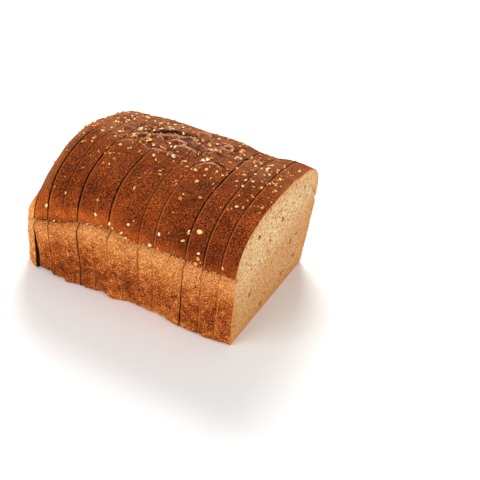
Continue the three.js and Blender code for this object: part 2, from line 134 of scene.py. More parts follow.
def scramble(mixed: Array) -> Array:
    """Turns mixed lattice numbers into values from -1 to 1."""
    mixed = mixed & MASK
    mixed = ((mixed ^ (mixed >> 13)) * 1274126177) & MASK
    return (mixed ^ (mixed >> 16)) / 2**32 * 2 - 1


def lattice(i: Array, j: Array, seed: int, k: Array | int = 0) -> Array:
    """A fixed value from -1 to 1 for each corner of the noise lattice."""
    return scramble(i * 374761393 + j * 668265263 + k * 461845907 + seed * 1442695041)


def noise(x: Array, y: Array, seed: int) -> Array:
    """Smooth noise from -1 to 1 over two coordinates, the same as the row's own.

    Args:
        x: First coordinate, in cells.
        y: Second coordinate, in cells.
        seed: Which noise.

    Returns:
        A value for each place.
    """
    x, y = np.broadcast_arrays(np.asarray(x, float), np.asarray(y, float))
    i, j = np.floor(x).astype(np.int64), np.floor(y).astype(np.int64)
    u, v = smoothstep(x - i, 0, 1), smoothstep(y - j, 0, 1)
    low = lerp(lattice(i, j, seed), lattice(i + 1, j, seed), u)
    high = lerp(lattice(i, j + 1, seed), lattice(i + 1, j + 1, seed), u)
    return lerp(low, high, v)


def solid_noise(points: Array, size: float, seed: int) -> Array:
    """Smooth noise from -1 to 1 through space.

    Args:
        points: Places, one row each.
        size: Width of one cell, in the units of the places.
        seed: Which noise.

    Returns:
        A value for each place.
    """
    scaled = points / size
    cell = np.floor(scaled).astype(np.int64)
    share = smoothstep(scaled - cell, 0, 1)
    i, j, k = cell.T
    u, v, w = share.T
    layers = []
    for up in (0, 1):
        low = lerp(lattice(i, j, seed, k + up), lattice(i + 1, j, seed, k + up), u)
        high = lerp(lattice(i, j + 1, seed, k + up), lattice(i + 1, j + 1, seed, k + up), u)
        layers.append(lerp(low, high, v))
    return lerp(layers[0], layers[1], w)


def patchwork(points: Array, patches: Patches) -> Array:
    """Noises through space added up, each given by its strength, its size and its seed."""
    return sum(strength * solid_noise(points, size, seed) for strength, size, seed in patches)


def pit_field(x: Array, y: Array, cell: float, radius: Span, share: float, seed: int) -> Array:
    """Round pits strewn over a plane, one at most in a cell.

    Args:
        x: First coordinate.
        y: Second coordinate.
        cell: Width of a cell.
        radius: Smallest and largest radius of a pit.
        share: Share of the cells that hold a pit.
        seed: Which pits.

    Returns:
        How deep each place lies in a pit, from 0 outside to 1 in its middle.
    """
    i, j = np.floor(x / cell).astype(np.int64), np.floor(y / cell).astype(np.int64)
    deepest = np.zeros_like(x)
    for di in (-1, 0, 1):
        for dj in (-1, 0, 1):
            a, b = i + di, j + dj
            middle_x = (a + 0.5 + PIT_JITTER * lattice(a, b, seed)) * cell
            middle_y = (b + 0.5 + PIT_JITTER * lattice(a, b, seed + 1)) * cell
            size = lerp(*radius, 0.5 + 0.5 * lattice(a, b, seed + 2))
            turn = math.pi * lattice(a, b, seed + 3)
            along = (x - middle_x) * np.cos(turn) + (y - middle_y) * np.sin(turn)
            across = (y - middle_y) * np.cos(turn) - (x - middle_x) * np.sin(turn)
            reach = np.hypot(along / PIT_STRETCH, across) / size
            there = lattice(a, b, seed + 4) < 2 * share - 1
            deepest = np.maximum(deepest, np.where(there, 1 - smoothstep(reach, PIT_FLOOR, 1), 0))
    return deepest


class SourceRandom:
    """The seeded random numbers that the row itself is laid out with."""

    def __init__(self, seed: int) -> None:
        """Starts the row of numbers."""
        self.state = seed & MASK

    def __call__(self) -> float:
        """The next number, from 0 to 1."""
        self.state = (self.state + 0x6D2B79F5) & MASK
        t = self.state
        t = ((t ^ (t >> 15)) * (t | 1)) & MASK
        t ^= (t + (((t ^ (t >> 7)) * (t | 61)) & MASK)) & MASK
        return (t ^ (t >> 14)) / 2**32


class Wander(Enum):
    """Unevenness along both sides: the noise that it follows, and how far apart the sides lie in it."""

    CREASE = (11, 3.3)
    CREASE_DEPTH = (23, 5.1)
    FOOT = (31, 2.7)
    FOOT_STEP = (37, 1.0)
    FOOT_TEAR = (79, 4.3)
    FINE_FOOT_TEAR = (83, 4.3)
    LIP_TEAR = (71, 7.7)
    LIP_PULL = (73, 9.1)

    def at(self, place: Array, side: Array) -> Array:
        """Its value, from -1 to 1, at a place along a side, -1 being the near side and 1 the far one."""
        seed, apart = self.value
        return noise(place, side * apart, seed)


@dataclass(frozen=True)
class Fold:
    """An arched fold of the crust: back and front end, bow to the far side, height and widths."""

    s: Span
    y: Span
    bow: float
    height: float
    near: float
    far: float
    warp: float = 0.9
    warp_size: Span = (3.7, 8)
    marked_height: float = 2.2

    def place(self, s: Array, y: Array) -> Curve:
        """How far along the fold's arch places of the crest lie, and how far beyond its ridge."""
        along = np.clip((s - self.s[0]) / (self.s[1] - self.s[0]), 0, 1)
        arch = 4 * along * (1 - along)
        length, width = self.warp_size
        bent = y + self.warp * noise(s / length, y / width, Seed.FOLDS)
        return arch, bent - lerp(*self.y, along) - self.bow * arch

    def rise(self, s: Array, y: Array) -> Array:
        """Rise of the fold at places of the crest."""
        arch, across = self.place(s, y)
        width = np.where(across < 0, self.near, self.far)
        return self.height * np.sqrt(arch) * bell(across, width)

    def reach(self, s: Array, y: Array) -> Curve:
        """How marked the fold is at places of the crest, and how far beyond its ridge they lie."""
        arch, across = self.place(s, y)
        return np.sqrt(arch) * self.height / self.marked_height, across


FOLDS = (
    Fold((110, 78), (-6, 17), 2, 2.6, 2.2, 5),
    Fold((102, 88), (-8, -1), 7, 2.1, 5.5, 2),
    Fold((87, 72), (0, 3), 2.5, 2, 3.2, 2),
    Fold((79, 62), (-7, -4), 4, 2.3, 6, 2),
    Fold((92, 68), (-16, -14), 2, 1.5, 2.6, 2.2),
    Fold((81, 70), (10, 12), 4, 1.7, 3, 2),
    Fold((60, 44), (-4, 14), 4, 2.5, 6.5, 2),
    Fold((57, 40), (-17, -12), 5, 2.1, 6, 2),
    Fold((57, 46), (14, 16), 7, 1.8, 3.2, 2.2),
    Fold((113, 91), (-23, -16), 7, 1.2, 5, 2.6),
    Fold((81, 67), (20, 26), 7, 1.7, 4, 2.6),
    Fold((36, 22), (6, 12), 4, 1.4, 4, 2.2),
)


@dataclass(frozen=True)
class LoafShape:
    """The section of the loaf at any distance behind its front face, in millimetres."""

    length: float = 157
    base_half_width: float = 57.6
    bulge_half_width: float = 62.6
    bulge_share: float = 0.87
    bulge_power: float = 1.25
    half_width: float = 62
    front_spread: float = 0.022
    front_spread_length: float = 14
    base_wander: float = 1.7
    base_wander_length: float = 24
    base_step: float = 1.0
    foot_swell: tuple[float, ...] = (-1.2, 2, 1.4, -1.8, -2.9, 0.7, 1.4, 3.4, 2.9, 3)
    foot_swell_step: float = 17.5
    foot_tear: float = 0.95
    foot_tear_length: float = 3.6
    foot_tear_fine: float = 0.5
    foot_tear_finer: float = 2.3
    edge_radius: float = 3
    crease_front: float = 54.6
    crease_back: float = 53.3
    crease_change: Span = (30, 90)
    crease_sink: float = 12
    crease_sink_change: Span = (98, 142)
    crease_wander: float = 1.5
    crease_wander_length: float = 9
    crease_depth: Span = (2.4, 5)
    crease_depth_change: Span = (10, 60)
    crease_depth_wander: float = 0.25
    lip_droop: float = 1.0
    lip_rise: float = 1.1
    lip_tear: float = 0.9
    lip_tear_length: float = 2.3
    lip_out: float = 0.3
    lip_pull: float = 0.4
    dome_power: Span = (2.6, 1.4)
    dome_power_change: Span = (134, 153)
    crest_front: float = 88.5
    crest_middle: float = 91.5
    crest_rise_length: float = 18
    crest_sink_from: float = 98
    crest_sink: float = 0.0019
    far_sink: float = 1.6
    far_sink_fade: float = 0.35
    dip_at: float = 32
    dip_half: float = 20
    dip_depth: float = 4
    end_wall_radius: float = 13.9
    end_top_radius: float = 21.5
    end_turn: Span = (21, 95)
    end_base_lift: float = 0.24
    end_flare: float = 0.5
    end_draw: float = 9
    end_middle: float = 36
    swell: float = 0.7
    swell_length: float = 17
    grain: float = 0.28
    grain_length: float = 6
    wall_swell_share: float = 0.9
    wall_swell_in: Span = (0, 0.06)
    wall_swell_out: Span = (0.93, 1)
    slice_step: float = 0.45
    slice_step_length: float = 38
    slice_apart: float = 1.7
    base_apart: float = 2.3
    wall_around: float = 150
    dome_around: float = 60
    furrow: Span = (74, 104)
    furrow_line: Span = (17, -1)
    furrow_wander: float = 2
    furrow_length: float = 7
    furrow_width: float = 2.2
    furrow_depth: float = 2.3
    edge_ends: float = 0.045
    wall_ends: float = 0.40
    lip_ends: float = 0.50
    shoulder_angle: float = 0.92
    shoulder_ease: float = 1.3

    def crease_height(self, s: Array, side: Array) -> Array:
        """Height of the crease above the base."""
        level = lerp(self.crease_front, self.crease_back, smoothstep(s, *self.crease_change))
        sink = self.crease_sink * smoothstep(s, *self.crease_sink_change)
        wander = Wander.CREASE.at(s / self.crease_wander_length, side)
        return level - sink + self.crease_wander * wander

    def crest_height(self, s: Array) -> Array:
        """Height of the crest above the base."""
        level = lerp(self.crest_front, self.crest_middle, smoothstep(s, 0, self.crest_rise_length))
        return level - self.crest_sink * np.maximum(0, s - self.crest_sink_from) ** 2

    def crease_half_width(self, s: Array, side: Array) -> Array:
        """Half width of the loaf in the crease."""
        depth = lerp(*self.crease_depth, smoothstep(s, *self.crease_depth_change))
        wander = Wander.CREASE_DEPTH.at(s / self.crease_wander_length, side)
        return self.half_width - depth * (1 + self.crease_depth_wander * wander)

    def foot_half_width(self, s: Array, side: Array, slice_number: int) -> Array:
        """Half width of the base.

        Args:
            s: Distance behind the front face.
            side: -1 for the near side, 1 for the far one.
            slice_number: The slice that it belongs to.

        Returns:
            The half width, with the swell of the near foot and its torn edge.
        """
        wander = self.base_wander * Wander.FOOT.at(s / self.base_wander_length, side)
        step = self.base_step * Wander.FOOT_STEP.at(slice_number * self.base_apart, side)
        place = s / self.foot_tear_length
        tear = Wander.FOOT_TEAR.at(place, side)
        tear += self.foot_tear_fine * Wander.FINE_FOOT_TEAR.at(self.foot_tear_finer * place, side)
        return self.base_half_width + wander + step + self.foot_tear * tear + self.near_swell(s) * (side < 0)

    def near_swell(self, s: Array) -> Array:
        """How far the near foot stands out, or in, at a distance along the loaf."""
        place = s / self.foot_swell_step
        knot = np.clip(np.floor(place).astype(int), 0, len(self.foot_swell) - 2)
        knots = np.array(self.foot_swell)
        return lerp(knots[knot], knots[knot + 1], smoothstep(place - knot, 0, 1))

    def wall_half_width(self, share: Array, foot: Array, crease: Array) -> Array:
        """Half width of the pan wall at a share of the crease height."""
        flare = np.clip(share / self.bulge_share, 0, 1) ** self.bulge_power
        lower = lerp(foot, self.bulge_half_width, flare)
        upper = lerp(self.bulge_half_width, crease, smoothstep(share, self.bulge_share, 1))
        return np.where(share < self.bulge_share, lower, upper)

    def crust_swell(self, s: Array, around: Array, slice_number: int) -> Array:
        """Unevenness of the crust, outward."""
        swell = self.swell * noise(s / (2 * self.swell_length), around / self.swell_length, Seed.SWELL)
        grain = self.grain * noise(s / self.grain_length, around / self.grain_length, Seed.GRAIN)
        step = noise(slice_number * self.slice_apart, around / self.slice_step_length, Seed.SLICE_STEP)
        return swell + grain + self.slice_step * step

    def crest_work(self, s: Array, y: Array) -> Array:
        """Height that the folds and the furrow add to the crest."""
        fade, across = self.furrow_place(s, y)
        depth = self.furrow_depth * fade * bell(across, self.furrow_width)
        return sum(fold.rise(s, y) for fold in FOLDS) - depth

    def furrow_place(self, s: Array, y: Array) -> Curve:
        """How much of the long furrow there is at places of the crest, and how far across it they lie."""
        along = np.clip((s - self.furrow[0]) / (self.furrow[1] - self.furrow[0]), 0, 1)
        wander = self.furrow_wander * noise(s / self.furrow_length, 0, Seed.FURROW)
        return np.sqrt(np.abs(np.sin(math.pi * along))), y - lerp(*self.furrow_line, along) - wander

    def dome_height(self, s: Array, y: Array, base: Array) -> Array:
        """Height of the domed top over a place across the loaf.

        Args:
            s: Distance behind the front face.
            y: Place across the loaf.
            base: Height of the lip.

        Returns:
            The height above the base.
        """
        share = np.minimum(1, np.abs(y) / self.half_width)
        power = lerp(*self.dome_power, smoothstep(s, *self.dome_power_change))
        rise = (1 - share**power) ** (1 / power)
        dip = self.dip_depth * np.maximum(0, 1 - ((s - self.dip_at) / self.dip_half) ** 2)
        sink = (self.far_sink * smoothstep(s, 0, self.dip_at) + dip) * share * share
        fade = np.minimum(1, rise / self.far_sink_fade)
        return base + (self.crest_height(s) - base) * rise - np.where(y > 0, sink * fade, 0)

    def dome(self, s: Array, angle: Array, slice_number: int) -> Curve:
        """Places on the domed top, the angle running from the near lip over to the far one.

        Args:
            s: Distance behind the front face.
            angle: From 0 at the near lip to half a turn at the far one.
            slice_number: The slice that it belongs to.

        Returns:
            Places across and up.
        """
        cosine = np.cos(angle)
        power = lerp(*self.dome_power, smoothstep(s, *self.dome_power_change))
        y = -self.half_width * np.sign(cosine) * np.abs(cosine) ** (2 / power)
        side = np.where(y < 0, -1.0, 1.0)
        base = self.crease_height(s, side) + self.lip_rise
        out = self.crust_swell(s, self.dome_around + y, slice_number)
        lean = (y / self.half_width) ** 2
        z = self.dome_height(s, y, base) + out * (1 - lean) + self.crest_work(s, y)
        return y + side * out * lean, z

    def lip(self, s: Array, share: Array, side: float, slice_number: int) -> Curve:
        """Places from the crease out under the torn lip and up to the foot of the dome.

        Args:
            s: Distance behind the front face.
            share: From 0 in the crease to 1 at the foot of the dome.
            side: -1 for the near side, 1 for the far one.
            slice_number: The slice that it belongs to.

        Returns:
            Places across and up.
        """
        height = self.crease_height(s, side)
        start_y, start_z = side * self.crease_half_width(s, side), height
        angle = np.full_like(s, 0.0 if side < 0 else math.pi)
        end_y, end_z = self.dome(s, angle, slice_number)
        tear = self.lip_tear * Wander.LIP_TEAR.at(s / self.lip_tear_length, side)
        pull = self.lip_tear * Wander.LIP_PULL.at(s / self.lip_tear_length, side)
        turn_y = end_y + side * (self.lip_out + self.lip_pull * pull)
        turn_z = height - self.lip_droop + tear
        first, second, third = (1 - share) ** 2, 2 * share * (1 - share), share**2
        y = first * start_y + second * turn_y + third * end_y
        return y, first * start_z + second * turn_z + third * end_z

    def side(self, s: Array, share: Array, side: float, slice_number: int) -> Curve:
        """One side of the section, from the edge of the base up to the shoulder.

        Args:
            s: Distance behind the front face.
            share: From 0 at the base to 1 on the shoulder.
            side: -1 for the near side, 1 for the far one.
            slice_number: The slice that it belongs to.

        Returns:
            Places across and up.
        """
        height = self.crease_height(s, side)
        foot = self.foot_half_width(s, side, slice_number)
        turn = np.clip(share / self.edge_ends, 0, 1) * math.pi / 2
        edge_y = side * (foot - self.edge_radius * (1 - np.sin(turn)))
        edge_z = self.edge_radius * (1 - np.cos(turn))
        climb = np.clip((share - self.edge_ends) / (self.wall_ends - self.edge_ends), 0, 1)
        part = lerp(self.edge_radius / height, 1, climb)
        swell = self.crust_swell(s, side * (self.wall_around + height * part), slice_number)
        fade = smoothstep(climb, *self.wall_swell_in) * (1 - smoothstep(climb, *self.wall_swell_out))
        wall = self.wall_half_width(part, foot, self.crease_half_width(s, side))
        wall_y = side * (wall + self.wall_swell_share * swell * fade)
        under = np.clip((share - self.wall_ends) / (self.lip_ends - self.wall_ends), 0, 1)
        lip_y, lip_z = self.lip(s, under, side, slice_number)
        over = np.clip((share - self.lip_ends) / (1 - self.lip_ends), 0, 1)
        angle = self.shoulder_angle * over**self.shoulder_ease
        top_y, top_z = self.dome(s, angle if side < 0 else math.pi - angle, slice_number)
        zones = [share < self.edge_ends, share < self.wall_ends, share < self.lip_ends]
        y = np.select(zones, [edge_y, wall_y, lip_y], top_y)
        return y, np.select(zones, [edge_z, height * part, lip_z], top_z)

    def base(self, s: Array, share: Array, slice_number: int) -> Curve:
        """Places along the base, from the near side to the far one."""
        near = -(self.foot_half_width(s, -1.0, slice_number) - self.edge_radius)
        far = self.foot_half_width(s, 1.0, slice_number) - self.edge_radius
        return lerp(near, far, share), np.zeros_like(share)

    def top(self, s: Array, share: Array, slice_number: int) -> Curve:
        """Places over the dome, from the near shoulder to the far one."""
        return self.dome(s, lerp(self.shoulder_angle, math.pi - self.shoulder_angle, share), slice_number)

    def section(self, s: Array, u: Array, v: Array, slice_number: int) -> Array:
        """Places in the section, spread evenly between its base, its two sides and its top.

        Args:
            s: Distance behind the front face.
            u: From 0 on the near side to 1 on the far one.
            v: From 0 at the base to 1 at the top.
            slice_number: The slice that the places belong to.

        Returns:
            A row of y and z for each place.
        """
        nil, one = np.zeros_like(u), np.ones_like(u)
        near = np.stack(self.side(s, v, -1.0, slice_number))
        far = np.stack(self.side(s, v, 1.0, slice_number))
        foot = np.stack(self.base(s, u, slice_number))
        top = np.stack(self.top(s, u, slice_number))
        corners = (
            (1 - u) * (1 - v) * np.stack(self.side(s, nil, -1.0, slice_number))
            + u * (1 - v) * np.stack(self.side(s, nil, 1.0, slice_number))
            + (1 - u) * v * np.stack(self.side(s, one, -1.0, slice_number))
            + u * v * np.stack(self.side(s, one, 1.0, slice_number))
        )
        y, z = (1 - u) * near + u * far + (1 - v) * foot + v * top - corners
        spread = 1 + self.front_spread * (1 - smoothstep(s, 0, self.front_spread_length))
        return self.draw_in(s, y * spread, z)

    def end_inset(self, s: Array, radius: Array) -> Array:
        """How far a rounded edge of some radius has turned in near the end of the loaf."""
        past = np.clip((s - self.length + radius) / radius, 0, 1)
        return radius * (1 - np.sqrt(1 - past * past))

    def draw_in(self, s: Array, y: Array, z: Array) -> Array:
        """Places in the section, drawn in where the end of the loaf is rounded off.

        Args:
            s: Distance behind the front face.
            y: Place across the loaf.
            z: Height above the base.

        Returns:
            A row of y and z for each place.
        """
        top = self.crest_height(s)
        radius = lerp(self.end_wall_radius, self.end_top_radius, smoothstep(z, *self.end_turn))
        across = y * (1 - self.end_inset(s, radius) / self.half_width)
        inset = self.end_inset(s, self.end_top_radius)
        upper = self.end_middle + (z - self.end_middle) * (1 - inset / (top - self.end_middle))
        lift = self.end_base_lift * self.end_inset(s, self.end_wall_radius)
        lower = z + (1 - z / self.end_middle) * lift
        return np.stack([across, np.where(z > self.end_middle, upper, lower)], axis=1)

    def end_place(self, z: Array) -> Array:
        """Where the outer end of the loaf stands at a height, as an x in front of the front face."""
        at = np.full_like(z, self.length)
        crease = self.crease_height(at, -1.0)
        flare = self.end_flare * np.minimum(1, z / crease)
        draw = np.clip((z - crease) / (self.crest_height(at) - crease), 0, 1)
        return -(self.length - self.end_flare + flare - self.end_draw * draw)


SHAPE = LoafShape()


@dataclass(frozen=True)
class Cut:
    """One face of a cut: its place over the bend, its turn and how far its foot is bent.

    The depth of the shade painted in its gap and the strength of the lines along it, a pale one that is
    partly painted light and a dark one of painted shade, run from 0 to 1.
    """

    x: float
    yaw: float = 0.0
    bend: float = 0.0
    shadow: float = 0.0
    line: float = 0.0
    parting_shade: float = 0.0
    bend_height: Span = (10, 40)

    def place(self, y: Array, z: Array) -> Array:
        """Where the cut stands at a place in the section."""
        return self.x + math.tan(self.yaw) * y + self.bend * (1 - smoothstep(z, *self.bend_height))

    def normal(self) -> Vector:
        """The direction that the cut faces above its bend, towards the front."""
        return Vector((1, -math.tan(self.yaw), 0)).normalized()


@dataclass(frozen=True)
class CutRow:
    """The row of cuts that part the slices, counted from the front."""

    thickness: tuple[float, ...] = (
        11.3, 11.3, 12.4, 10.6, 11.4, 9.9, 11.2, 11.1, 11.4, 11.5, 11.1, 10.6, 11.2,
    )
    open_cuts: tuple[int, ...] = (1, 3, 8, 10, 12)
    tight_gap: float = 0.35
    open_gap: float = 0.8
    gap_wander: float = 0.1
    yaw: float = 0.35
    wedge: float = 0.3
    heel_gap: float = 0.45
    bend: float = 3.2
    bend_along: Span = (78, 112)
    heel_bend_share: float = 0.4
    seed: int = 7
    close: float = 0.1
    open_close: float = 0.27
    # Per cut: painted shade in its gap, painted dark lines along it over the dome, and a pale line on its
    # edges that is partly painted light.
    shadows: tuple[float, ...] = (0.9, 0.1, 1, 0.05, 0.1, 0.3, 0, 0.6, 0, 0.6, 0.1, 0.5, 1)
    parting_shade: tuple[float, ...] = (0.9, 0.85, 1, 0.35, 0.5, 0.55, 0.15, 1, 0.3, 1, 0.6, 1, 0.9)
    pale: tuple[float, ...] = (0.7, 0.8, 0.7, 0.2, 0.8, 0.4, 0.3, 0.6, 0.5, 0.6, 0.4, 0.7, 0.6)
    front_pale: float = 0.15

    def faces(self) -> list[tuple[Cut, Cut]]:
        """The front and back face of every slice, the heel last.

        Returns:
            Two cuts for each slice. The heel's second one is only a stand-in for its outer end.
        """
        draw = SourceRandom(self.seed)
        degree = math.pi / 180
        front, middle = Cut(0.0), 0.0
        made = []
        for number, thickness in enumerate(self.thickness, start=1):
            middle -= thickness
            is_open = number in self.open_cuts
            gap = (self.open_gap if is_open else self.tight_gap) + self.gap_wander * draw()
            yaw = self.yaw * (2 * draw() - 1) * degree
            wedge = self.wedge * (draw() - 0.5) * degree if is_open else 0.0
            bend = self.bend * float(smoothstep(-middle, *self.bend_along))
            half = gap / 2 - (self.open_close if is_open else self.close)
            parting_shade = self.parting_shade[number - 1]
            shadow = self.shadows[number - 1]
            back = Cut(middle + half, yaw + wedge, bend, shadow, self.pale[number - 1], parting_shade)
            made.append((front, back))
            front = Cut(middle - half, yaw - wedge, bend, shadow, self.front_pale, parting_shade)
        heel_x = middle + gap / 2 - self.heel_gap
        heel = Cut(heel_x, back.yaw, self.heel_bend_share * back.bend, shadow, self.front_pale, parting_shade)
        made.append((heel, Cut(-SHAPE.length)))
        return made


ROW = CutRow()
FACES = ROW.faces()


@dataclass(frozen=True)
class CrustRelief:
    """The fine relief of the crust, outward, in millimetres."""

    lump: float = 0.17
    lump_size: float = 4.4
    grain: float = 0.11
    grain_size: float = 1.9
    wall_worm: float = 0.26
    wall_worm_size: float = 3.1
    wall_fade: Span = (-3, 1)
    wrinkle: float = 0.9
    wrinkle_middle: float = 6
    wrinkle_reach: float = 19
    wrinkle_size: Span = (13, 5.2)
    wrinkle_warp: float = 2.5
    wrinkle_warp_length: float = 14
    wrinkle_fine_share: float = 0.2
    wrinkle_least: float = 0.35
    wrinkle_starts: Span = (18, 42)
    wrinkle_ends: Span = (108, 128)
    wrinkle_end_loss: float = 0.6
    wrinkle_rise: Span = (24, 34)
    pit_depth: float = 0.5
    pit_cell: float = 7.5
    pit_radius: Span = (0.5, 1.1)
    pit_share: float = 0.35
    foot_clear: Span = (0.2, 3)
    shade_reach: Span = (3.2, 2.4)
    furrow_shade: float = 1.1
    furrow_shade_width: float = 1.3
    fold_reach: float = 5
    no_fold: float = 20

    def outward(self, points: Array, rise: Array) -> Array:
        """Relief at places on the crust.

        Args:
            points: Places with x in front of the front face, one row each.
            rise: Height of each place above the crease.

        Returns:
            How far each place moves out.
        """
        x, y, z = points.T
        relief = self.lump * solid_noise(points, self.lump_size, Seed.LUMPS)
        relief += self.grain * solid_noise(points, self.grain_size, Seed.CRUST_GRAIN)
        wall = 1 - smoothstep(rise, *self.wall_fade)
        relief += self.wall_worm * ridged(solid_noise(points, self.wall_worm_size, Seed.WORMS)) * wall
        pits = pit_field(x, y + 2 * z, self.pit_cell, self.pit_radius, self.pit_share, Seed.PITS)
        relief -= self.pit_depth * pits * wall
        relief += self.crest_wrinkle(-x, y) * smoothstep(rise, *self.wrinkle_rise)
        return relief * smoothstep(z, *self.foot_clear)

    def crest_shade(self, s: Array, y: Array) -> Array:
        """How far the crest stands above its surroundings, ridges positive and furrows negative.

        Args:
            s: Distance behind the front face.
            y: Place across the loaf.

        Returns:
            The difference in height for each place, in millimetres.
        """
        along, across = self.shade_reach

        def height(ds: float, dy: float) -> Array:
            """Height of folds and wrinkles at a place beside each one."""
            return SHAPE.crest_work(s + ds, y + dy) + self.crest_wrinkle(s + ds, y + dy)

        around = height(along, 0) + height(-along, 0) + height(0, across) + height(0, -across)
        fade, beside = SHAPE.furrow_place(s, y)
        furrow = self.furrow_shade * fade * bell(beside, self.furrow_shade_width)
        return height(0, 0) - around / 4 - furrow

    def nearest_fold(self, s: Array, y: Array) -> Curve:
        """How marked the fold nearest to each place of the crest is, and how far beyond it the place lies.

        Args:
            s: Distance behind the front face.
            y: Place across the loaf.

        Returns:
            The mark, about 1 for a high fold, and the distance in millimetres.
        """
        marked, beyond = np.zeros_like(s), np.full_like(s, self.no_fold)
        for fold in FOLDS:
            strength, across = fold.reach(s, y)
            closer = strength * bell(across, self.fold_reach) > marked * bell(beyond, self.fold_reach)
            marked, beyond = np.where(closer, strength, marked), np.where(closer, across, beyond)
        return marked, beyond

    def crest_wrinkle(self, s: Array, y: Array) -> Array:
        """Fine wrinkles between the folds of the crest.

        Args:
            s: Distance behind the front face.
            y: Place across the loaf.

        Returns:
            Their height for each place.
        """
        length, width = self.wrinkle_size
        bent = y + self.wrinkle_warp * noise(s / self.wrinkle_warp_length, 0.5, Seed.WRINKLE_WARP)
        ridge = ridged(noise(s / length, bent / width, Seed.WRINKLES))
        fine = ridged(noise(2 * s / length, 2 * bent / width, Seed.FINE_WRINKLES))
        across = bell(y - self.wrinkle_middle, self.wrinkle_reach)
        along = smoothstep(s, *self.wrinkle_starts)
        along *= 1 - self.wrinkle_end_loss * smoothstep(s, *self.wrinkle_ends)
        work = lerp(ridge, fine, self.wrinkle_fine_share) * across
        return self.wrinkle * work * lerp(self.wrinkle_least, 1, along)


@dataclass(frozen=True)
class Pores:
    """Pores of one size: their depth, the width of a cell, their radii and the share of cells with one."""

    depth: float
    cell: float
    radius: Span
    share: float


@dataclass(frozen=True)
class CrumbRelief:
    """The open pores of a cut face, in millimetres below the cut."""

    skin: Span = (1.3, 2.6)
    follow: float = 2.5
    grain: float = 0.05
    grain_size: float = 1.4
    kinds: tuple[Pores, ...] = (
        Pores(0.3, 1.9, (0.42, 0.85), 0.72),
        Pores(0.6, 4.3, (0.6, 1.15), 0.5),
        Pores(1.4, 11.0, (1.0, 2.1), 0.32),
    )
    slice_apart: int = 40
    back_apart: int = 7
    kind_apart: int = 10

    def pores(self, y: Array, z: Array, seed: int) -> Array:
        """How deep the crumb is open at places of a cut face.

        Args:
            y: Place across the loaf.
            z: Height above the base.
            seed: Which pores.

        Returns:
            The depth for each place, in millimetres.
        """
        depths = []
        for number, kind in enumerate(self.kinds):
            pits = pit_field(y, z, kind.cell, kind.radius, kind.share, seed + self.kind_apart * number)
            depths.append(kind.depth * pits)
        return np.maximum.reduce(depths)


@dataclass(frozen=True)
class Step:
    """An amount that comes in, or goes, smoothly between two places."""

    start: float
    end: float
    amount: float = 1.0

    def after(self, place: Array) -> Array:
        """The amount where places lie past the step."""
        return self.amount * smoothstep(place, self.start, self.end)

    def before(self, place: Array) -> Array:
        """The amount where places haven't reached the step."""
        return self.amount * (1 - smoothstep(place, self.start, self.end))


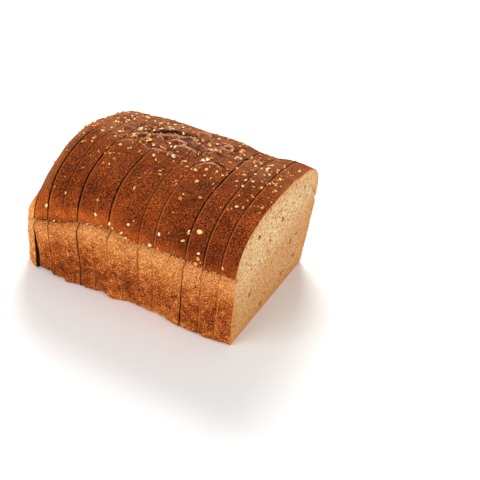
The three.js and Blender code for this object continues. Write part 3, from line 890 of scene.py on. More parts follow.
@dataclass(frozen=True)
class Baking:
    """Where the crust is darker or paler, where a sheen is painted on, and where painted shade darkens a cut
    face.

    Steps go by the rise above the crease, by s or, for the sheen of the crest, by y.
    """

    slice_tone: float = 0.045
    above_crease: Step = Step(-2, 6)
    pale_end: Step = Step(130, 157, -0.14)
    dome_foot: Step = Step(6, 26)
    dome_foot_front: float = 0.02
    dome_foot_back: Step = Step(20, 110, -0.16)
    dome_front: Step = Step(15, 80, 0.03)
    crest: Step = Step(26, 34, 0.03)
    wall_foot: Step = Step(-54, -38, -0.13)
    wall_front: Step = Step(5, 35, 0.1)
    wall_middle: Step = Step(45, 95, 0.075)
    wall_back: Step = Step(95, 125, 0.1)
    tone_patches: Patches = ((0.07, 15.0, Seed.LARGE_TONES), (0.05, 6.5, Seed.SMALL_TONES))
    # Painted sheen: a paler colour on the crest, and on the top of the last slice where it turns away from
    # the lamps, stands in for the light that they catch. The same value sets the coat's gloss.
    sheen_near: Step = Step(-30, 14)
    sheen_far: Step = Step(26, 54)
    sheen_front: float = 0.6
    sheen_back: Step = Step(70, 110, 0.25)
    shoulder_near: Step = Step(-54, -44, 0.08)
    shoulder_far: Step = Step(44, 54)
    sheen_rise: Step = Step(18, 34)
    last_slice: Step = Step(130, 141, 0.68)
    last_slice_rise: Step = Step(12, 36)
    sheen_patches: Patches = ((0.5, 9.0, Seed.LARGE_SHEEN), (0.5, 4.0, Seed.SMALL_SHEEN))
    sheen_level: float = 0.9
    sheen_limits: Span = (0.1, 1.8)
    # Painted shade on a cut face, growing towards its foot.
    face_foot: Step = Step(20, 75)
    face_lean: float = 0.15

    def sheen(self, points: Array, rise: Array) -> Array:
        """The sheen of the crest, in patches, from 0 to about 1: a paler colour painted on as sheen, and the
        coat's gloss.

        Args:
            points: Places with x in front of the front face, one row each.
            rise: Their heights above the crease.

        Returns:
            The sheen for each place.
        """
        s, y = -points[:, 0], points[:, 1]
        level = self.sheen_near.after(y) * self.sheen_far.before(y)
        level *= self.sheen_front + self.sheen_back.after(s)
        level += self.shoulder_near.after(y) * self.shoulder_far.before(y)
        level *= self.sheen_rise.after(rise)
        level = np.maximum(level, self.last_slice.after(s) * self.last_slice_rise.after(rise))
        patches = self.sheen_level + patchwork(points, self.sheen_patches)
        return level * np.clip(patches, *self.sheen_limits)

    def tone(self, points: Array, rise: Array, slice_number: int) -> Array:
        """How much darker the crust is baked here and there, from about -0.3 to 0.3.

        Args:
            points: Places with x in front of the front face, one row each.
            rise: Their heights above the crease.
            slice_number: The slice that they belong to.

        Returns:
            The change of tone for each place.
        """
        s = -points[:, 0]
        above = self.above_crease.after(rise)
        own = self.slice_tone * float(lattice(np.int64(slice_number), np.int64(3), Seed.SLICE_TONE))
        foot = self.dome_foot.before(rise) * (self.dome_foot_front + self.dome_foot_back.after(s))
        dome = above * (foot + self.dome_front.before(s))
        wall = self.wall_front.before(s) + self.wall_middle.after(s) + self.wall_back.after(s)
        ends = self.pale_end.after(s) + self.wall_foot.before(rise) + self.crest.after(rise)
        return own + dome + (1 - above) * wall + ends + patchwork(points, self.tone_patches)

    def face_foot_shade(self, points: Array) -> Array:
        """How near to the foot of a cut face places lie, from 0 to 1, which sets the painted shade there."""
        return self.face_foot.before(points[:, 2] - self.face_lean * points[:, 1])


class Zone(Enum):
    """The two kinds of surface of a slice, by material index."""

    CRUST = 0
    CRUMB = 1


def block(across: int, along: int) -> bmesh.types.BMesh:
    """A unit block from 0 to 1 each way, divided evenly.

    Args:
        across: Parts over its width and its height.
        along: Parts along X.

    Returns:
        The block. Its faces at X = 0 and X = 1 have the crumb's material index.
    """
    made = bmesh.new()
    bmesh.ops.create_cube(made, size=1, matrix=Matrix.Translation((0.5, 0.5, 0.5)))
    for lies_along, parts in ((False, across), (True, along)):
        edges = [e for e in made.edges if (abs(e.verts[0].co.x - e.verts[1].co.x) > TINY) == lies_along]
        bmesh.ops.subdivide_edges(made, edges=edges, cuts=parts - 1, use_grid_fill=True)
    for face in made.faces:
        face.smooth = True
        face.material_index = Zone.CRUMB.value if abs(face.normal.x) > 0.5 else Zone.CRUST.value
    for edge in made.edges:
        kinds = {face.material_index for face in edge.link_faces}
        edge.smooth = len(kinds) == 1
    return made


def place_in_row(points: Array) -> Array:
    """Places measured from the front face, in millimetres, as metres in the row frame."""
    return (points + np.array(ROW_SHIFT)) * MILLIMETRE


def settle(made: bmesh.types.BMesh, name: str) -> bpy.types.Mesh:
    """A mesh of what was made, which is freed."""
    mesh = bpy.data.meshes.new(name)
    made.to_mesh(mesh)
    made.free()
    return mesh


def place_in_scene(name: str, data: bpy.types.ID) -> bpy.types.Object:
    """A new object in the scene that holds a mesh, a lamp or a camera."""
    made = bpy.data.objects.new(name, data)
    bpy.context.scene.collection.objects.link(made)
    return made


def read_places(mesh: bpy.types.Mesh) -> Array:
    """The vertices of a mesh, one row each."""
    flat = np.zeros(len(mesh.vertices) * 3)
    mesh.vertices.foreach_get("co", flat)
    return flat.reshape(-1, 3)


def write_places(mesh: bpy.types.Mesh, points: Array) -> None:
    """Moves the vertices of a mesh."""
    mesh.vertices.foreach_set("co", np.ascontiguousarray(points, np.float32).ravel())
    mesh.update()


def read_normals(mesh: bpy.types.Mesh) -> Array:
    """The vertex normals of a mesh, one row each."""
    flat = np.zeros(len(mesh.vertices) * 3, np.float32)
    mesh.vertex_normals.foreach_get("vector", flat)
    return flat.reshape(-1, 3).astype(float)


def add_value(mesh: bpy.types.Mesh, name: str, values: Array) -> None:
    """Gives each vertex a value that materials can read."""
    layer = mesh.attributes.new(name, "FLOAT", "POINT")
    layer.data.foreach_set("value", np.ascontiguousarray(values, np.float32))


@dataclass(frozen=True)
class Form:
    """The vertices of a slice before their relief.

    Each field has a row or a value for every vertex: its place with x in front of the front face,
    its rise above the crease, and whether it lies in a cut face, on the front end and on the edge
    of a cut face.
    """

    points: Array
    rise: Array
    inside: Array
    on_front: Array
    cut_edge: Array


@dataclass(frozen=True)
class Cutting:
    """One slice or the heel: its shape, its relief and what the materials read from it.

    It is numbered from the front and has a front and a back face. Across is how many parts its
    width and its height have, and along how many there are from the front to the back.
    """

    name: str
    number: int
    across: int
    along: int
    even_rings: float = 0.25
    crest_rise: Span = (20, 32)
    crease_rise: Span = (-3, 3)
    past_middle: Span = (0.4, 0.6)
    crumb: CrumbRelief = CrumbRelief()
    crust: CrustRelief = CrustRelief()
    baking: Baking = Baking()

    @property
    def front(self) -> Cut:
        """The cut in front of it."""
        return FACES[self.number - 1][0]

    @property
    def back(self) -> Cut:
        """The cut behind it."""
        return FACES[self.number - 1][1]

    @property
    def is_heel(self) -> bool:
        """Whether it is the last piece, which has no cut behind it."""
        return self.number > len(ROW.thickness)

    def share_behind(self, a: Array) -> Array:
        """How far back each ring lies, from 0 to 1: the rings stand closer at the cuts."""
        if self.is_heel:
            return np.sin(math.pi / 2 * a)
        return lerp(0.5 - 0.5 * np.cos(math.pi * a), a, self.even_rings)

    def form(self, grid: Array) -> Form:
        """The slice without its relief.

        Args:
            grid: Places in the unit block, one row each.

        Returns:
            Its vertices.
        """
        a, u, v = grid.T
        share = self.share_behind(a)
        s = -lerp(self.front.x, self.back.x, share)
        y, z = SHAPE.section(s, u, v, self.number).T
        back = SHAPE.end_place(z) if self.is_heel else self.back.place(y, z)
        x = lerp(self.front.place(y, z), back, share)
        rise = z - SHAPE.crease_height(-x.clip(max=0), np.where(y < 0, -1.0, 1.0))
        on_front = a < TINY
        cut = on_front | ((a > 1 - TINY) & (not self.is_heel))
        rim = (np.abs(grid[:, 1:] - 0.5) > 0.5 - TINY).any(axis=1)
        return Form(np.stack([x, y, z], axis=1), rise, cut & ~rim, on_front, cut & rim)

    def build(self) -> bpy.types.Object:
        """Builds the finished mesh.

        Returns:
            The object, in the row frame.
        """
        mesh = settle(block(self.across, self.along), self.name)
        form = self.form(read_places(mesh))
        write_places(mesh, form.points)
        moved = self.raise_crust(form, read_normals(mesh))
        skin = self.skin_depth(form, moved)
        pores = self.open_pores(form, moved, skin)
        write_places(mesh, place_in_row(moved))
        self.write_values(mesh, form, skin, pores)
        return place_in_scene(self.name, mesh)

    def raise_crust(self, form: Form, normals: Array) -> Array:
        """The places with the relief of the crust, which on the edge of a cut keeps them in the cut.

        Args:
            form: The vertices.
            normals: The way that each of them faces, changed in place.

        Returns:
            The place of each vertex.
        """
        normals[form.cut_edge, 0] = 0
        normals /= np.maximum(np.linalg.norm(normals, axis=1, keepdims=True), TINY)
        moved = form.points.copy()
        crust = ~form.inside
        relief = self.crust.outward(form.points[crust], form.rise[crust])
        moved[crust] += normals[crust] * relief[:, None]
        return moved

    def skin_depth(self, form: Form, moved: Array) -> Array:
        """Distance of the crumb from the crust; the crumb next to it is drawn along with its relief.

        Args:
            form: The vertices.
            moved: Their places with relief, changed in place.

        Returns:
            The distance for each vertex, 0 on the crust.
        """
        points = form.points
        edge = np.flatnonzero(form.cut_edge)
        tree = KDTree(len(edge))
        for index, vertex in enumerate(edge):
            tree.insert(points[vertex], index)
        tree.balance()
        skin = np.zeros(len(points))
        nearest = np.zeros(len(points), int)
        for vertex in np.flatnonzero(form.inside):
            _, index, distance = tree.find(points[vertex])
            skin[vertex] = distance
            nearest[vertex] = edge[index]
        shift = (moved[nearest] - points[nearest]) * np.exp(-skin / self.crumb.follow)[:, None]
        moved[form.inside] += shift[form.inside]
        return skin

    def open_pores(self, form: Form, moved: Array, skin: Array) -> Array:
        """Sinks the pores into the cut faces.

        Args:
            form: The vertices.
            moved: Their places with relief, changed in place.
            skin: Their distances from the crust.

        Returns:
            How deep each vertex lies in a pore.
        """
        crumb, inside = self.crumb, form.inside
        _, y, z = form.points[inside].T
        towards = np.where(form.on_front[inside], -1.0, 1.0)
        seed = Seed.PORES + crumb.slice_apart * self.number
        depth = np.where(towards < 0, crumb.pores(y, z, seed), crumb.pores(y, z, seed + crumb.back_apart))
        fade = smoothstep(skin[inside], *crumb.skin)
        grain = crumb.grain * solid_noise(form.points[inside], crumb.grain_size, seed)
        moved[inside, 0] += towards * (depth + np.abs(grain)) * fade
        pores = np.zeros(len(skin))
        pores[inside] = depth * fade
        return pores

    def write_values(self, mesh: bpy.types.Mesh, form: Form, skin: Array, pores: Array) -> None:
        """Writes what the materials read from each vertex.

        Args:
            mesh: The slice's mesh.
            form: The vertices before their relief.
            skin: Distance from the crust in the cut faces, in millimetres.
            pores: Depth of the pores, in millimetres.
        """
        points, rise = form.points, form.rise
        x, y, z = points.T
        edge = np.abs(x - self.front.place(y, z))
        if not self.is_heel:
            edge = np.minimum(edge, np.abs(x - self.back.place(y, z)))
        crest = smoothstep(rise, *self.crest_rise)
        marked, beyond = self.crust.nearest_fold(-x, y)
        share = np.clip((self.front.x - x) / (self.front.x - self.back.x), 0, 1)
        behind = smoothstep(share, *self.past_middle)
        above = smoothstep(rise, *self.crease_rise)
        shadow = [lerp(cut.shadow, cut.parting_shade, above) for cut in (self.front, self.back)]
        values = {
            "rise": rise,
            "skin": skin,
            "pore": pores,
            "toast": self.baking.tone(points, rise, self.number),
            "edge": np.where(form.inside, 0, edge),
            # The crest's painted shade and highlights follow fold, marked and beyond.
            "fold": self.crust.crest_shade(-x, y) * crest,
            "marked": marked * crest,
            "beyond": beyond,
            # Where the sheen is painted on and the coat shines.
            "gloss_and_painted_sheen": self.baking.sheen(points, rise),
            # Painted shade towards the foot of a cut face.
            "low": self.baking.face_foot_shade(points),
            # Painted shade in the gaps, the pale cut edges that are partly painted light, and the painted
            # dark lines of the partings.
            "gap": lerp(*shadow, behind),
            "line": lerp(self.front.line, self.back.line, behind),
            "part": lerp(self.front.parting_shade, self.back.parting_shade, behind),
        }
        for name, value in values.items():
            add_value(mesh, name, value)


@dataclass(frozen=True)
class Ease:
    """A smooth change: the range of the value that drives it, and what it gives at both ends."""

    low: float
    high: float
    start: float = 0.0
    end: float = 1.0


class NodeBench:
    """A node tree that is filled a node at a time."""

    def __init__(self, tree: Tree) -> None:
        """Takes the tree to fill."""
        self.tree = tree

    def add(self, kind: str, inputs: dict | None = None, **settings: object) -> bpy.types.Node:
        """Adds a node.

        Args:
            kind: The node's type name.
            inputs: Values or sockets for its inputs, by name or number.
            settings: Its own settings.

        Returns:
            The node.
        """
        node = self.tree.nodes.new(kind)
        for name, value in settings.items():
            setattr(node, name, value)
        for key, value in (inputs or {}).items():
            self.feed(node.inputs[key], value)
        return node

    def feed(self, socket: Socket, value: object) -> None:
        """Links a socket to another one, or sets its value."""
        if isinstance(value, bpy.types.NodeSocket):
            self.tree.links.new(value, socket)
        else:
            socket.default_value = value

    def math(self, operation: str, first: object, second: object = 0.0, clamp: bool = False) -> Socket:
        """The result of a Math node."""
        node = self.add("ShaderNodeMath", {0: first, 1: second}, operation=operation, use_clamp=clamp)
        return node.outputs[0]

    def plus(self, first: object, second: object, clamp: bool = False) -> Socket:
        """Two values added."""
        return self.math("ADD", first, second, clamp)

    def minus(self, first: object, second: object) -> Socket:
        """One value taken from another."""
        return self.math("SUBTRACT", first, second)

    def times(self, first: object, *others: object, clamp: bool = False) -> Socket:
        """Values multiplied."""
        for other in others:
            first = self.math("MULTIPLY", first, other, clamp)
        return first

    def wander(self, value: object, size: object) -> Socket:
        """A value from 0 to 1 made to wander round 0, over a range of some size."""
        return self.times(self.minus(value, 0.5), size)

    def away(self, value: object, middle: float) -> Socket:
        """How far a value is from a middle."""
        return self.math("ABSOLUTE", self.minus(value, middle))

    def mix(self, low: object, high: object, share: object) -> Socket:
        """The value at a share of the way from low to high."""
        return self.plus(low, self.times(share, self.minus(high, low)))

    def ease(self, value: object, ease: Ease) -> Socket:
        """What a smooth change gives for a value."""
        inputs = {"Value": value, "From Min": ease.low, "From Max": ease.high}
        inputs |= {"To Min": ease.start, "To Max": ease.end}
        return self.add("ShaderNodeMapRange", inputs, interpolation_type="SMOOTHSTEP").outputs["Result"]

    def layered(self, colour: object, coats: Iterable[tuple[Socket, Colour]]) -> Socket:
        """A colour with others laid over it, each by its own share."""
        for share, coat in coats:
            node = self.add("ShaderNodeMix", {"Factor": share, 6: colour, 7: coat}, data_type="RGBA")
            colour = node.outputs[2]
        return colour

    def value(self, name: str) -> Socket:
        """A value that the mesh holds for each vertex."""
        return self.add("ShaderNodeAttribute", attribute_name=name).outputs["Fac"]

    def ramp(self, share: object, tones: Tones) -> Socket:
        """A colour ramp of places and colours.

        Args:
            share: The value that picks the colour, from 0 to 1.
            tones: Place and colour of each stop.

        Returns:
            The colour.
        """
        node = self.add("ShaderNodeValToRGB", {0: share})
        elements = node.color_ramp.elements
        while len(elements) < len(tones):
            elements.new(0.5)
        for element, (place, colour) in zip(elements, tones):
            element.position = place
            element.color = colour
        return node.outputs["Color"]

    def grain(self, group: Tree, size: float) -> Sockets:
        """What the grain group gives over the surface, for a size in metres."""
        place = self.add("ShaderNodeTexCoord").outputs["Object"]
        return self.add("ShaderNodeGroup", {"Place": place, "Size": size}, node_tree=group).outputs


def new_group(
    name: str, inputs: dict[str, float | None], outputs: Iterable[str]
) -> tuple[NodeBench, Sockets, Sockets]:
    """A shader node group with named sockets.

    Args:
        name: Its name.
        inputs: Default of each number that it takes, and None for a place.
        outputs: Names of the numbers that it gives.

    Returns:
        Its bench, the sockets with what it is given and the ones for what it gives.
    """
    tree = bpy.data.node_groups.new(name, "ShaderNodeTree")
    for label, given in inputs.items():
        kind = "NodeSocketVector" if given is None else "NodeSocketFloat"
        socket = tree.interface.new_socket(label, in_out="INPUT", socket_type=kind)
        if given is not None:
            socket.default_value = given
    for label in outputs:
        tree.interface.new_socket(label, in_out="OUTPUT", socket_type="NodeSocketFloat")
    bench = NodeBench(tree)
    return bench, bench.add("NodeGroupInput").outputs, bench.add("NodeGroupOutput").inputs


@dataclass(frozen=True)
class Speckle:
    """One output of the grain group: how fine its noise is, the noise's own values and its range."""

    label: str
    fineness: float
    detail: float
    roughness: float
    reach: Ease
    distortion: float = 0.0


@dataclass(frozen=True)
class GrainGroup:
    """Mottling, fine grain and specks of one size, shared by every baked surface."""

    speckles: tuple[Speckle, ...] = (
        Speckle("Mottle", 1.0, 3.0, 0.65, Ease(0.3, 0.7), distortion=0.15),
        Speckle("Grain", 2.1, 2.0, 0.6, Ease(0.3, 0.7)),
        Speckle("Specks", 2.1, 1.0, 0.7, Ease(0.56, 0.68)),
    )

    def make(self) -> Tree:
        """Makes the group.

        Returns:
            The group. Its size is the width of the mottling in metres.
        """
        labels = [speckle.label for speckle in self.speckles]
        bench, given, made = new_group("grain", {"Place": None, "Size": 0.003}, labels)
        scale = bench.math("DIVIDE", 1.0, given["Size"])
        for speckle in self.speckles:
            inputs = {
                "Vector": given["Place"],
                "Scale": bench.times(scale, speckle.fineness),
                "Detail": speckle.detail,
                "Roughness": speckle.roughness,
                "Distortion": speckle.distortion,
            }
            strewn = bench.add("ShaderNodeTexNoise", inputs).outputs["Fac"]
            bench.feed(made[speckle.label], bench.ease(strewn, speckle.reach))
        return bench.tree


@dataclass(frozen=True)
class BakeGroup:
    """How dark the crust is baked, from the pan wall up over the shoulder to the crest.

    Its eases go by the rise above the crease, in millimetres.
    """

    wall: Ease = Ease(-40.0, -4.0)
    dome: Ease = Ease(0.0, 13.0)
    crease: Ease = Ease(-0.7, 0.5)
    crease_ragged: float = 2.2
    wall_mottle: Ease = Ease(-34.0, -5.0, 0.54, 0.5)
    dome_mottle: Ease = Ease(8.0, 30.0, 0.26, 0.48)
    wall_grain: float = 0.74
    dome_grain: Ease = Ease(8.0, 30.0, 0.42, 0.62)

    def make(self) -> Tree:
        """Makes the group.

        Returns:
            The group. Its tones run from 0, pale, to 1, dark.
        """
        defaults = {"Rise": 0.0, "Toast": 0.0, "Mottle": 0.5, "Grain": 0.5}
        defaults |= {"Rim": 0.25, "Foot": 0.6, "Lip": 0.6, "Crest": 0.8}
        bench, given, made = new_group("bake", defaults, ("Tone", "Above"))
        rise, mottle = given["Rise"], given["Mottle"]
        above = bench.ease(bench.plus(rise, bench.wander(mottle, self.crease_ragged)), self.crease)
        wall = bench.mix(given["Foot"], given["Rim"], bench.ease(rise, self.wall))
        dome = bench.mix(given["Lip"], given["Crest"], bench.ease(rise, self.dome))
        mottling = bench.mix(bench.ease(rise, self.wall_mottle), bench.ease(rise, self.dome_mottle), above)
        graining = bench.mix(self.wall_grain, bench.ease(rise, self.dome_grain), above)
        mottled = bench.plus(bench.mix(wall, dome, above), bench.wander(mottle, mottling))
        grained = bench.plus(bench.wander(given["Grain"], graining), given["Toast"])
        bench.feed(made["Tone"], bench.plus(mottled, grained, clamp=True))
        bench.feed(made["Above"], above)
        return bench.tree


@dataclass(frozen=True)
class Finish:
    """A material with its name and how strongly it shines."""

    name: str
    shine: float = 0.02

    def bench(self) -> tuple[Material, NodeBench, bpy.types.Node]:
        """A new material, a bench for its nodes and its Principled node."""
        material = bpy.data.materials.new(self.name)
        material.use_nodes = True
        shader = material.node_tree.nodes["Principled BSDF"]
        shader.inputs["Specular IOR Level"].default_value = self.shine
        return material, NodeBench(material.node_tree), shader

    def bump(self, bench: NodeBench, shader: bpy.types.Node, height: object, depth: float) -> None:
        """Bumps the surface by a height from 0 to 1, depth being its size in metres."""
        bumped = bench.add("ShaderNodeBump", {"Strength": 1.0, "Distance": depth, "Height": height})
        bench.feed(shader.inputs["Normal"], bumped.outputs["Normal"])


@dataclass(frozen=True)
class FloorFinish(Finish):
    """The even, pale floor."""

    shine: float = 0.5
    colour: Colour = (0.93, 0.925, 0.915, 1.0)
    roughness: float = 0.9

    def make(self) -> Material:
        """Makes the material."""
        material, _, shader = self.bench()
        shader.inputs["Base Color"].default_value = self.colour
        shader.inputs["Roughness"].default_value = self.roughness
        return material


@dataclass(frozen=True)
class CrustFinish(Finish):
    """Browned crust: tan below the crease, dark above it, with cracks, paler cut edges and painted light and
    shade.

    Rim, foot, lip and crest are tones of the pan wall's top and foot and of the dome's. The other
    eases go by the mesh's own values: the rise above the crease and the distances from a cut, from
    the crease and from a fold's ridge in millimetres, the height of the folds, and the grain.
    """

    rim: float = 0.25
    foot: float = 0.58
    lip: float = 0.6
    crest: float = 0.8
    tones: Tones = screen_tones(
        (0.0, 250, 192, 120),
        (0.2, 226, 142, 66),
        (0.4, 201, 102, 36),
        (0.6, 166, 75, 30),
        (0.8, 123, 53, 23),
        (1.0, 64, 26, 12),
    )
    mottle_size: float = 0.00105
    patch_size: float = 0.006
    patches: Ease = Ease(-30.0, 2.0, 0.3, 0.105)
    speck: Colour = linear(244, 200, 148)
    speck_share: Ease = Ease(-22.0, -2.0, 0.05, 0.75)
    # Dark cracks in the crease, partly painted shade where the lip overhangs the wall.
    crack_and_shade: Colour = linear(48, 20, 9)
    crack_and_shade_place: float = -1.3
    crack_and_shade_wander: float = 1.2
    crack_and_shade_width: Ease = Ease(0.3, 1.4, 0.85, 0.0)
    crack_and_shade_breaks: Ease = Ease(0.2, 0.6, 0.25, 1.0)
    # Painted sheen: a paler, greyer colour over the crest in place of the light that it reflects.
    sheen: Colour = linear(164, 98, 52)
    sheen_share: Ease = Ease(0.0, 1.0, 0.3, 0.9)
    # A pale line along a cut: the crust's paler cut edge, partly a painted highlight on the slice edge that
    # stands out.
    cut: Colour = linear(224, 132, 58)
    cut_place: float = 0.85
    cut_width: Ease = Ease(0.1, 0.5, 0.8, 0.0)
    # Painted shade: dark lines over the dome where the slices part.
    parting_shade: Colour = linear(30, 12, 6)
    parting_shade_wander: float = 0.85
    parting_shade_width: Ease = Ease(0.16, 0.56, 1.0, 0.0)
    parting_shade_rise: Ease = Ease(1.0, 12.0, 0.25, 1.0)
    parting_shade_breaks: Ease = Ease(0.1, 0.6, 0.45, 1.0)
    # Painted shade in the hollows of the crest and a painted highlight on its ridges, by how far the crest
    # stands above its surroundings.
    furrow: Colour = linear(66, 26, 10)
    furrow_shade_share: Ease = Ease(-0.05, -0.6, 0.0, 0.85)
    fold: Colour = linear(186, 128, 96)
    fold_highlight_share: Ease = Ease(0.15, 0.8, 0.0, 0.55)
    fold_wander: float = 0.9
    # Painted shade in the recess behind a fold's ridge.
    recess_shade: Colour = linear(56, 22, 9)
    recess_shade_start: Ease = Ease(-0.7, 0.1)
    recess_shade_end: Ease = Ease(3.2, 6.6, 0.95, 0.0)
    # Painted highlight: a thin pale line along a fold's ridge.
    ridge_highlight: Colour = linear(212, 156, 122)
    ridge_highlight_place: float = -1.4
    ridge_highlight_width: Ease = Ease(0.25, 1.15, 0.9, 0.0)
    ridge_highlight_breaks: Ease = Ease(0.1, 0.6, 0.25, 1.0)
    coat: Ease = Ease(0.0, 1.0, 0.0, 0.12)
    coat_roughness: float = 0.5
    dullness: Ease = Ease(0.0, 1.0, 0.75, 0.48)
    bump_mottle: float = 0.6
    bump_grain: float = 0.4
    bump_depth: float = 0.0003

    def make(self, grain: Tree, bake: Tree) -> Material:
        """Makes the material.

        Args:
            grain: The grain group.
            bake: The bake group.

        Returns:
            The material.
        """
        material, bench, shader = self.bench()
        fine, coarse = bench.grain(grain, self.mottle_size), bench.grain(grain, self.patch_size)
        mottle, grained, broken = fine["Mottle"], fine["Grain"], coarse["Grain"]
        rise, edge, gloss_and_painted_sheen = (bench.value(name) for name in ("rise", "edge", "gloss_and_painted_sheen"))
        patch = bench.wander(coarse["Mottle"], bench.ease(rise, self.patches))
        toast = bench.plus(bench.value("toast"), patch)
        inputs = {"Rise": rise, "Toast": toast, "Mottle": mottle, "Grain": grained}
        inputs |= {"Rim": self.rim, "Foot": self.foot, "Lip": self.lip, "Crest": self.crest}
        baked = bench.add("ShaderNodeGroup", inputs, node_tree=bake).outputs
        wall = bench.minus(1.0, baked["Above"])
        ragged = bench.plus(edge, bench.wander(mottle, self.parting_shade_wander))
        # Over the baked tone: specks, cracks partly painted as shade, painted sheen, partly painted pale cut
        # edges, painted shade along the partings and painted shade and highlights on the crest.
        coats = (
            (bench.times(wall, bench.ease(rise, self.speck_share), fine["Specks"]), self.speck),
            (self.cracks_and_shade(bench, rise, mottle), self.crack_and_shade),
            (bench.times(gloss_and_painted_sheen, bench.ease(mottle, self.sheen_share)), self.sheen),
            (self.cut_edge(bench, edge, grained), self.cut),
            (self.parting_shade_lines(bench, rise, ragged, broken), self.parting_shade),
            *self.folded(bench, mottle, broken),
        )
        bench.feed(shader.inputs["Base Color"], bench.layered(bench.ramp(baked["Tone"], self.tones), coats))
        bench.feed(shader.inputs["Coat Weight"], bench.ease(gloss_and_painted_sheen, self.coat))
        shader.inputs["Coat Roughness"].default_value = self.coat_roughness
        bench.feed(shader.inputs["Roughness"], bench.ease(gloss_and_painted_sheen, self.dullness))
        height = bench.plus(bench.times(mottle, self.bump_mottle), bench.times(grained, self.bump_grain))
        self.bump(bench, shader, height, self.bump_depth)
        return material

    def cracks_and_shade(self, bench: NodeBench, rise: Socket, mottle: Socket) -> Socket:
        """Dark cracks that come and go in the crease, partly painted shade under the lip."""
        place = bench.plus(rise, bench.wander(mottle, self.crack_and_shade_wander))
        near = bench.ease(bench.away(place, self.crack_and_shade_place), self.crack_and_shade_width)
        return bench.times(near, bench.ease(mottle, self.crack_and_shade_breaks))

    def cut_edge(self, bench: NodeBench, edge: Socket, grained: Socket) -> Socket:
        """A pale line beside a cut: the crust's paler cut edge, partly a painted highlight on the edge that
        stands out.
        """
        near = bench.ease(bench.away(edge, self.cut_place), self.cut_width)
        return bench.times(near, bench.value("line"), grained)

    def parting_shade_lines(self, bench: NodeBench, rise: Socket, edge: Socket, broken: Socket) -> Socket:
        """Painted shade: dark broken lines over the dome where the slices part."""
        near = bench.times(bench.ease(edge, self.parting_shade_width), bench.ease(rise, self.parting_shade_rise))
        return bench.times(near, bench.ease(broken, self.parting_shade_breaks), bench.value("part"))

    def folded(self, bench: NodeBench, mottle: Socket, broken: Socket) -> tuple[tuple[Socket, Colour], ...]:
        """The painted shade and highlights of the crest: hollows and ridges, the recess behind a ridge and
        the line along it.

        Args:
            bench: Where the nodes are added.
            mottle: The fine mottling.
            broken: The coarse grain, which breaks up the painted highlight along a ridge.

        Returns:
            The share and the colour of each coat.
        """
        fold, marked = bench.value("fold"), bench.value("marked")
        beyond = bench.plus(bench.value("beyond"), bench.wander(mottle, self.fold_wander))
        behind = bench.ease(beyond, self.recess_shade_end)
        dark = bench.times(bench.ease(beyond, self.recess_shade_start), behind, marked, clamp=True)
        near = bench.ease(bench.away(beyond, self.ridge_highlight_place), self.ridge_highlight_width)
        ridge_highlight = bench.times(near, bench.ease(broken, self.ridge_highlight_breaks), marked, clamp=True)
        return (
            (bench.ease(fold, self.furrow_shade_share), self.furrow),
            (bench.ease(fold, self.fold_highlight_share), self.fold),
            (dark, self.recess_shade),
            (ridge_highlight, self.ridge_highlight),
        )


@dataclass(frozen=True)
class CrumbFinish(Finish):
    """Wholemeal crumb: beige, with bran, darker pores, a thin crust round it and painted shade in holes and
    gaps.
    """

    shine: float = 0.1
    roughness: float = 0.85
    coarse_size: float = 0.009
    small_size: float = 0.0023
    body: Colour = linear(247, 221, 172)
    warm: Colour = linear(206, 144, 66)
    warm_rim: Ease = Ease(1.0, 16.0, 0.7, 0.0)
    warm_patches: float = 0.28
    warm_grain: float = 0.9
    pale: Colour = linear(254, 240, 206)
    pale_share: float = 0.72
    # Painted shade: the cut face darker and warmer towards its foot.
    low: Colour = linear(198, 132, 62)
    foot_shade_share: Ease = Ease(0.0, 1.0, 0.0, 0.6)
    bran: Colour = linear(188, 98, 34)
    pore: Colour = linear(178, 108, 42)
    pore_share: Ease = Ease(0.08, 0.5, 0.0, 0.7)
    # Painted shade in the deepest part of the large pores.
    painted_pore_shade: Colour = linear(98, 44, 16)
    painted_pore_shade_share: Ease = Ease(0.5, 0.8, 0.0, 0.95)
    skin: Colour = linear(212, 126, 58)
    skin_share: Ease = Ease(0.5, 1.5, 0.95, 0.0)
    skin_ragged: float = 0.7
    # Painted shade deep in the gaps between slices, by each cut's shadow strength.
    shade: Colour = linear(52, 22, 9)
    shade_share: Ease = Ease(1.5, 6.0, 0.96, 0.2)
    bump_depth: float = 0.0002

    def make(self, grain: Tree) -> Material:
        """Makes the material.

        Args:
            grain: The grain group.

        Returns:
            The material.
        """
        material, bench, shader = self.bench()
        shader.inputs["Roughness"].default_value = self.roughness
        coarse, small = bench.grain(grain, self.coarse_size), bench.grain(grain, self.small_size)
        skin, pore = bench.value("skin"), bench.value("pore")
        ragged = bench.plus(skin, bench.wander(small["Mottle"], self.skin_ragged))
        coats = (
            (bench.ease(skin, self.warm_rim), self.warm),
            (bench.times(coarse["Mottle"], self.warm_patches), self.warm),
            (bench.times(small["Mottle"], self.pale_share), self.pale),
            (bench.times(small["Grain"], self.warm_grain), self.warm),
            (bench.ease(bench.value("low"), self.foot_shade_share), self.low),
            (small["Specks"], self.bran),
            (bench.ease(pore, self.pore_share), self.pore),
            (bench.ease(pore, self.painted_pore_shade_share), self.painted_pore_shade),
            (bench.ease(ragged, self.skin_share), self.skin),
            (bench.times(bench.ease(skin, self.shade_share), bench.value("gap")), self.shade),
        )
        bench.feed(shader.inputs["Base Color"], bench.layered(self.body, coats))
        self.bump(bench, shader, small["Grain"], self.bump_depth)
        return material


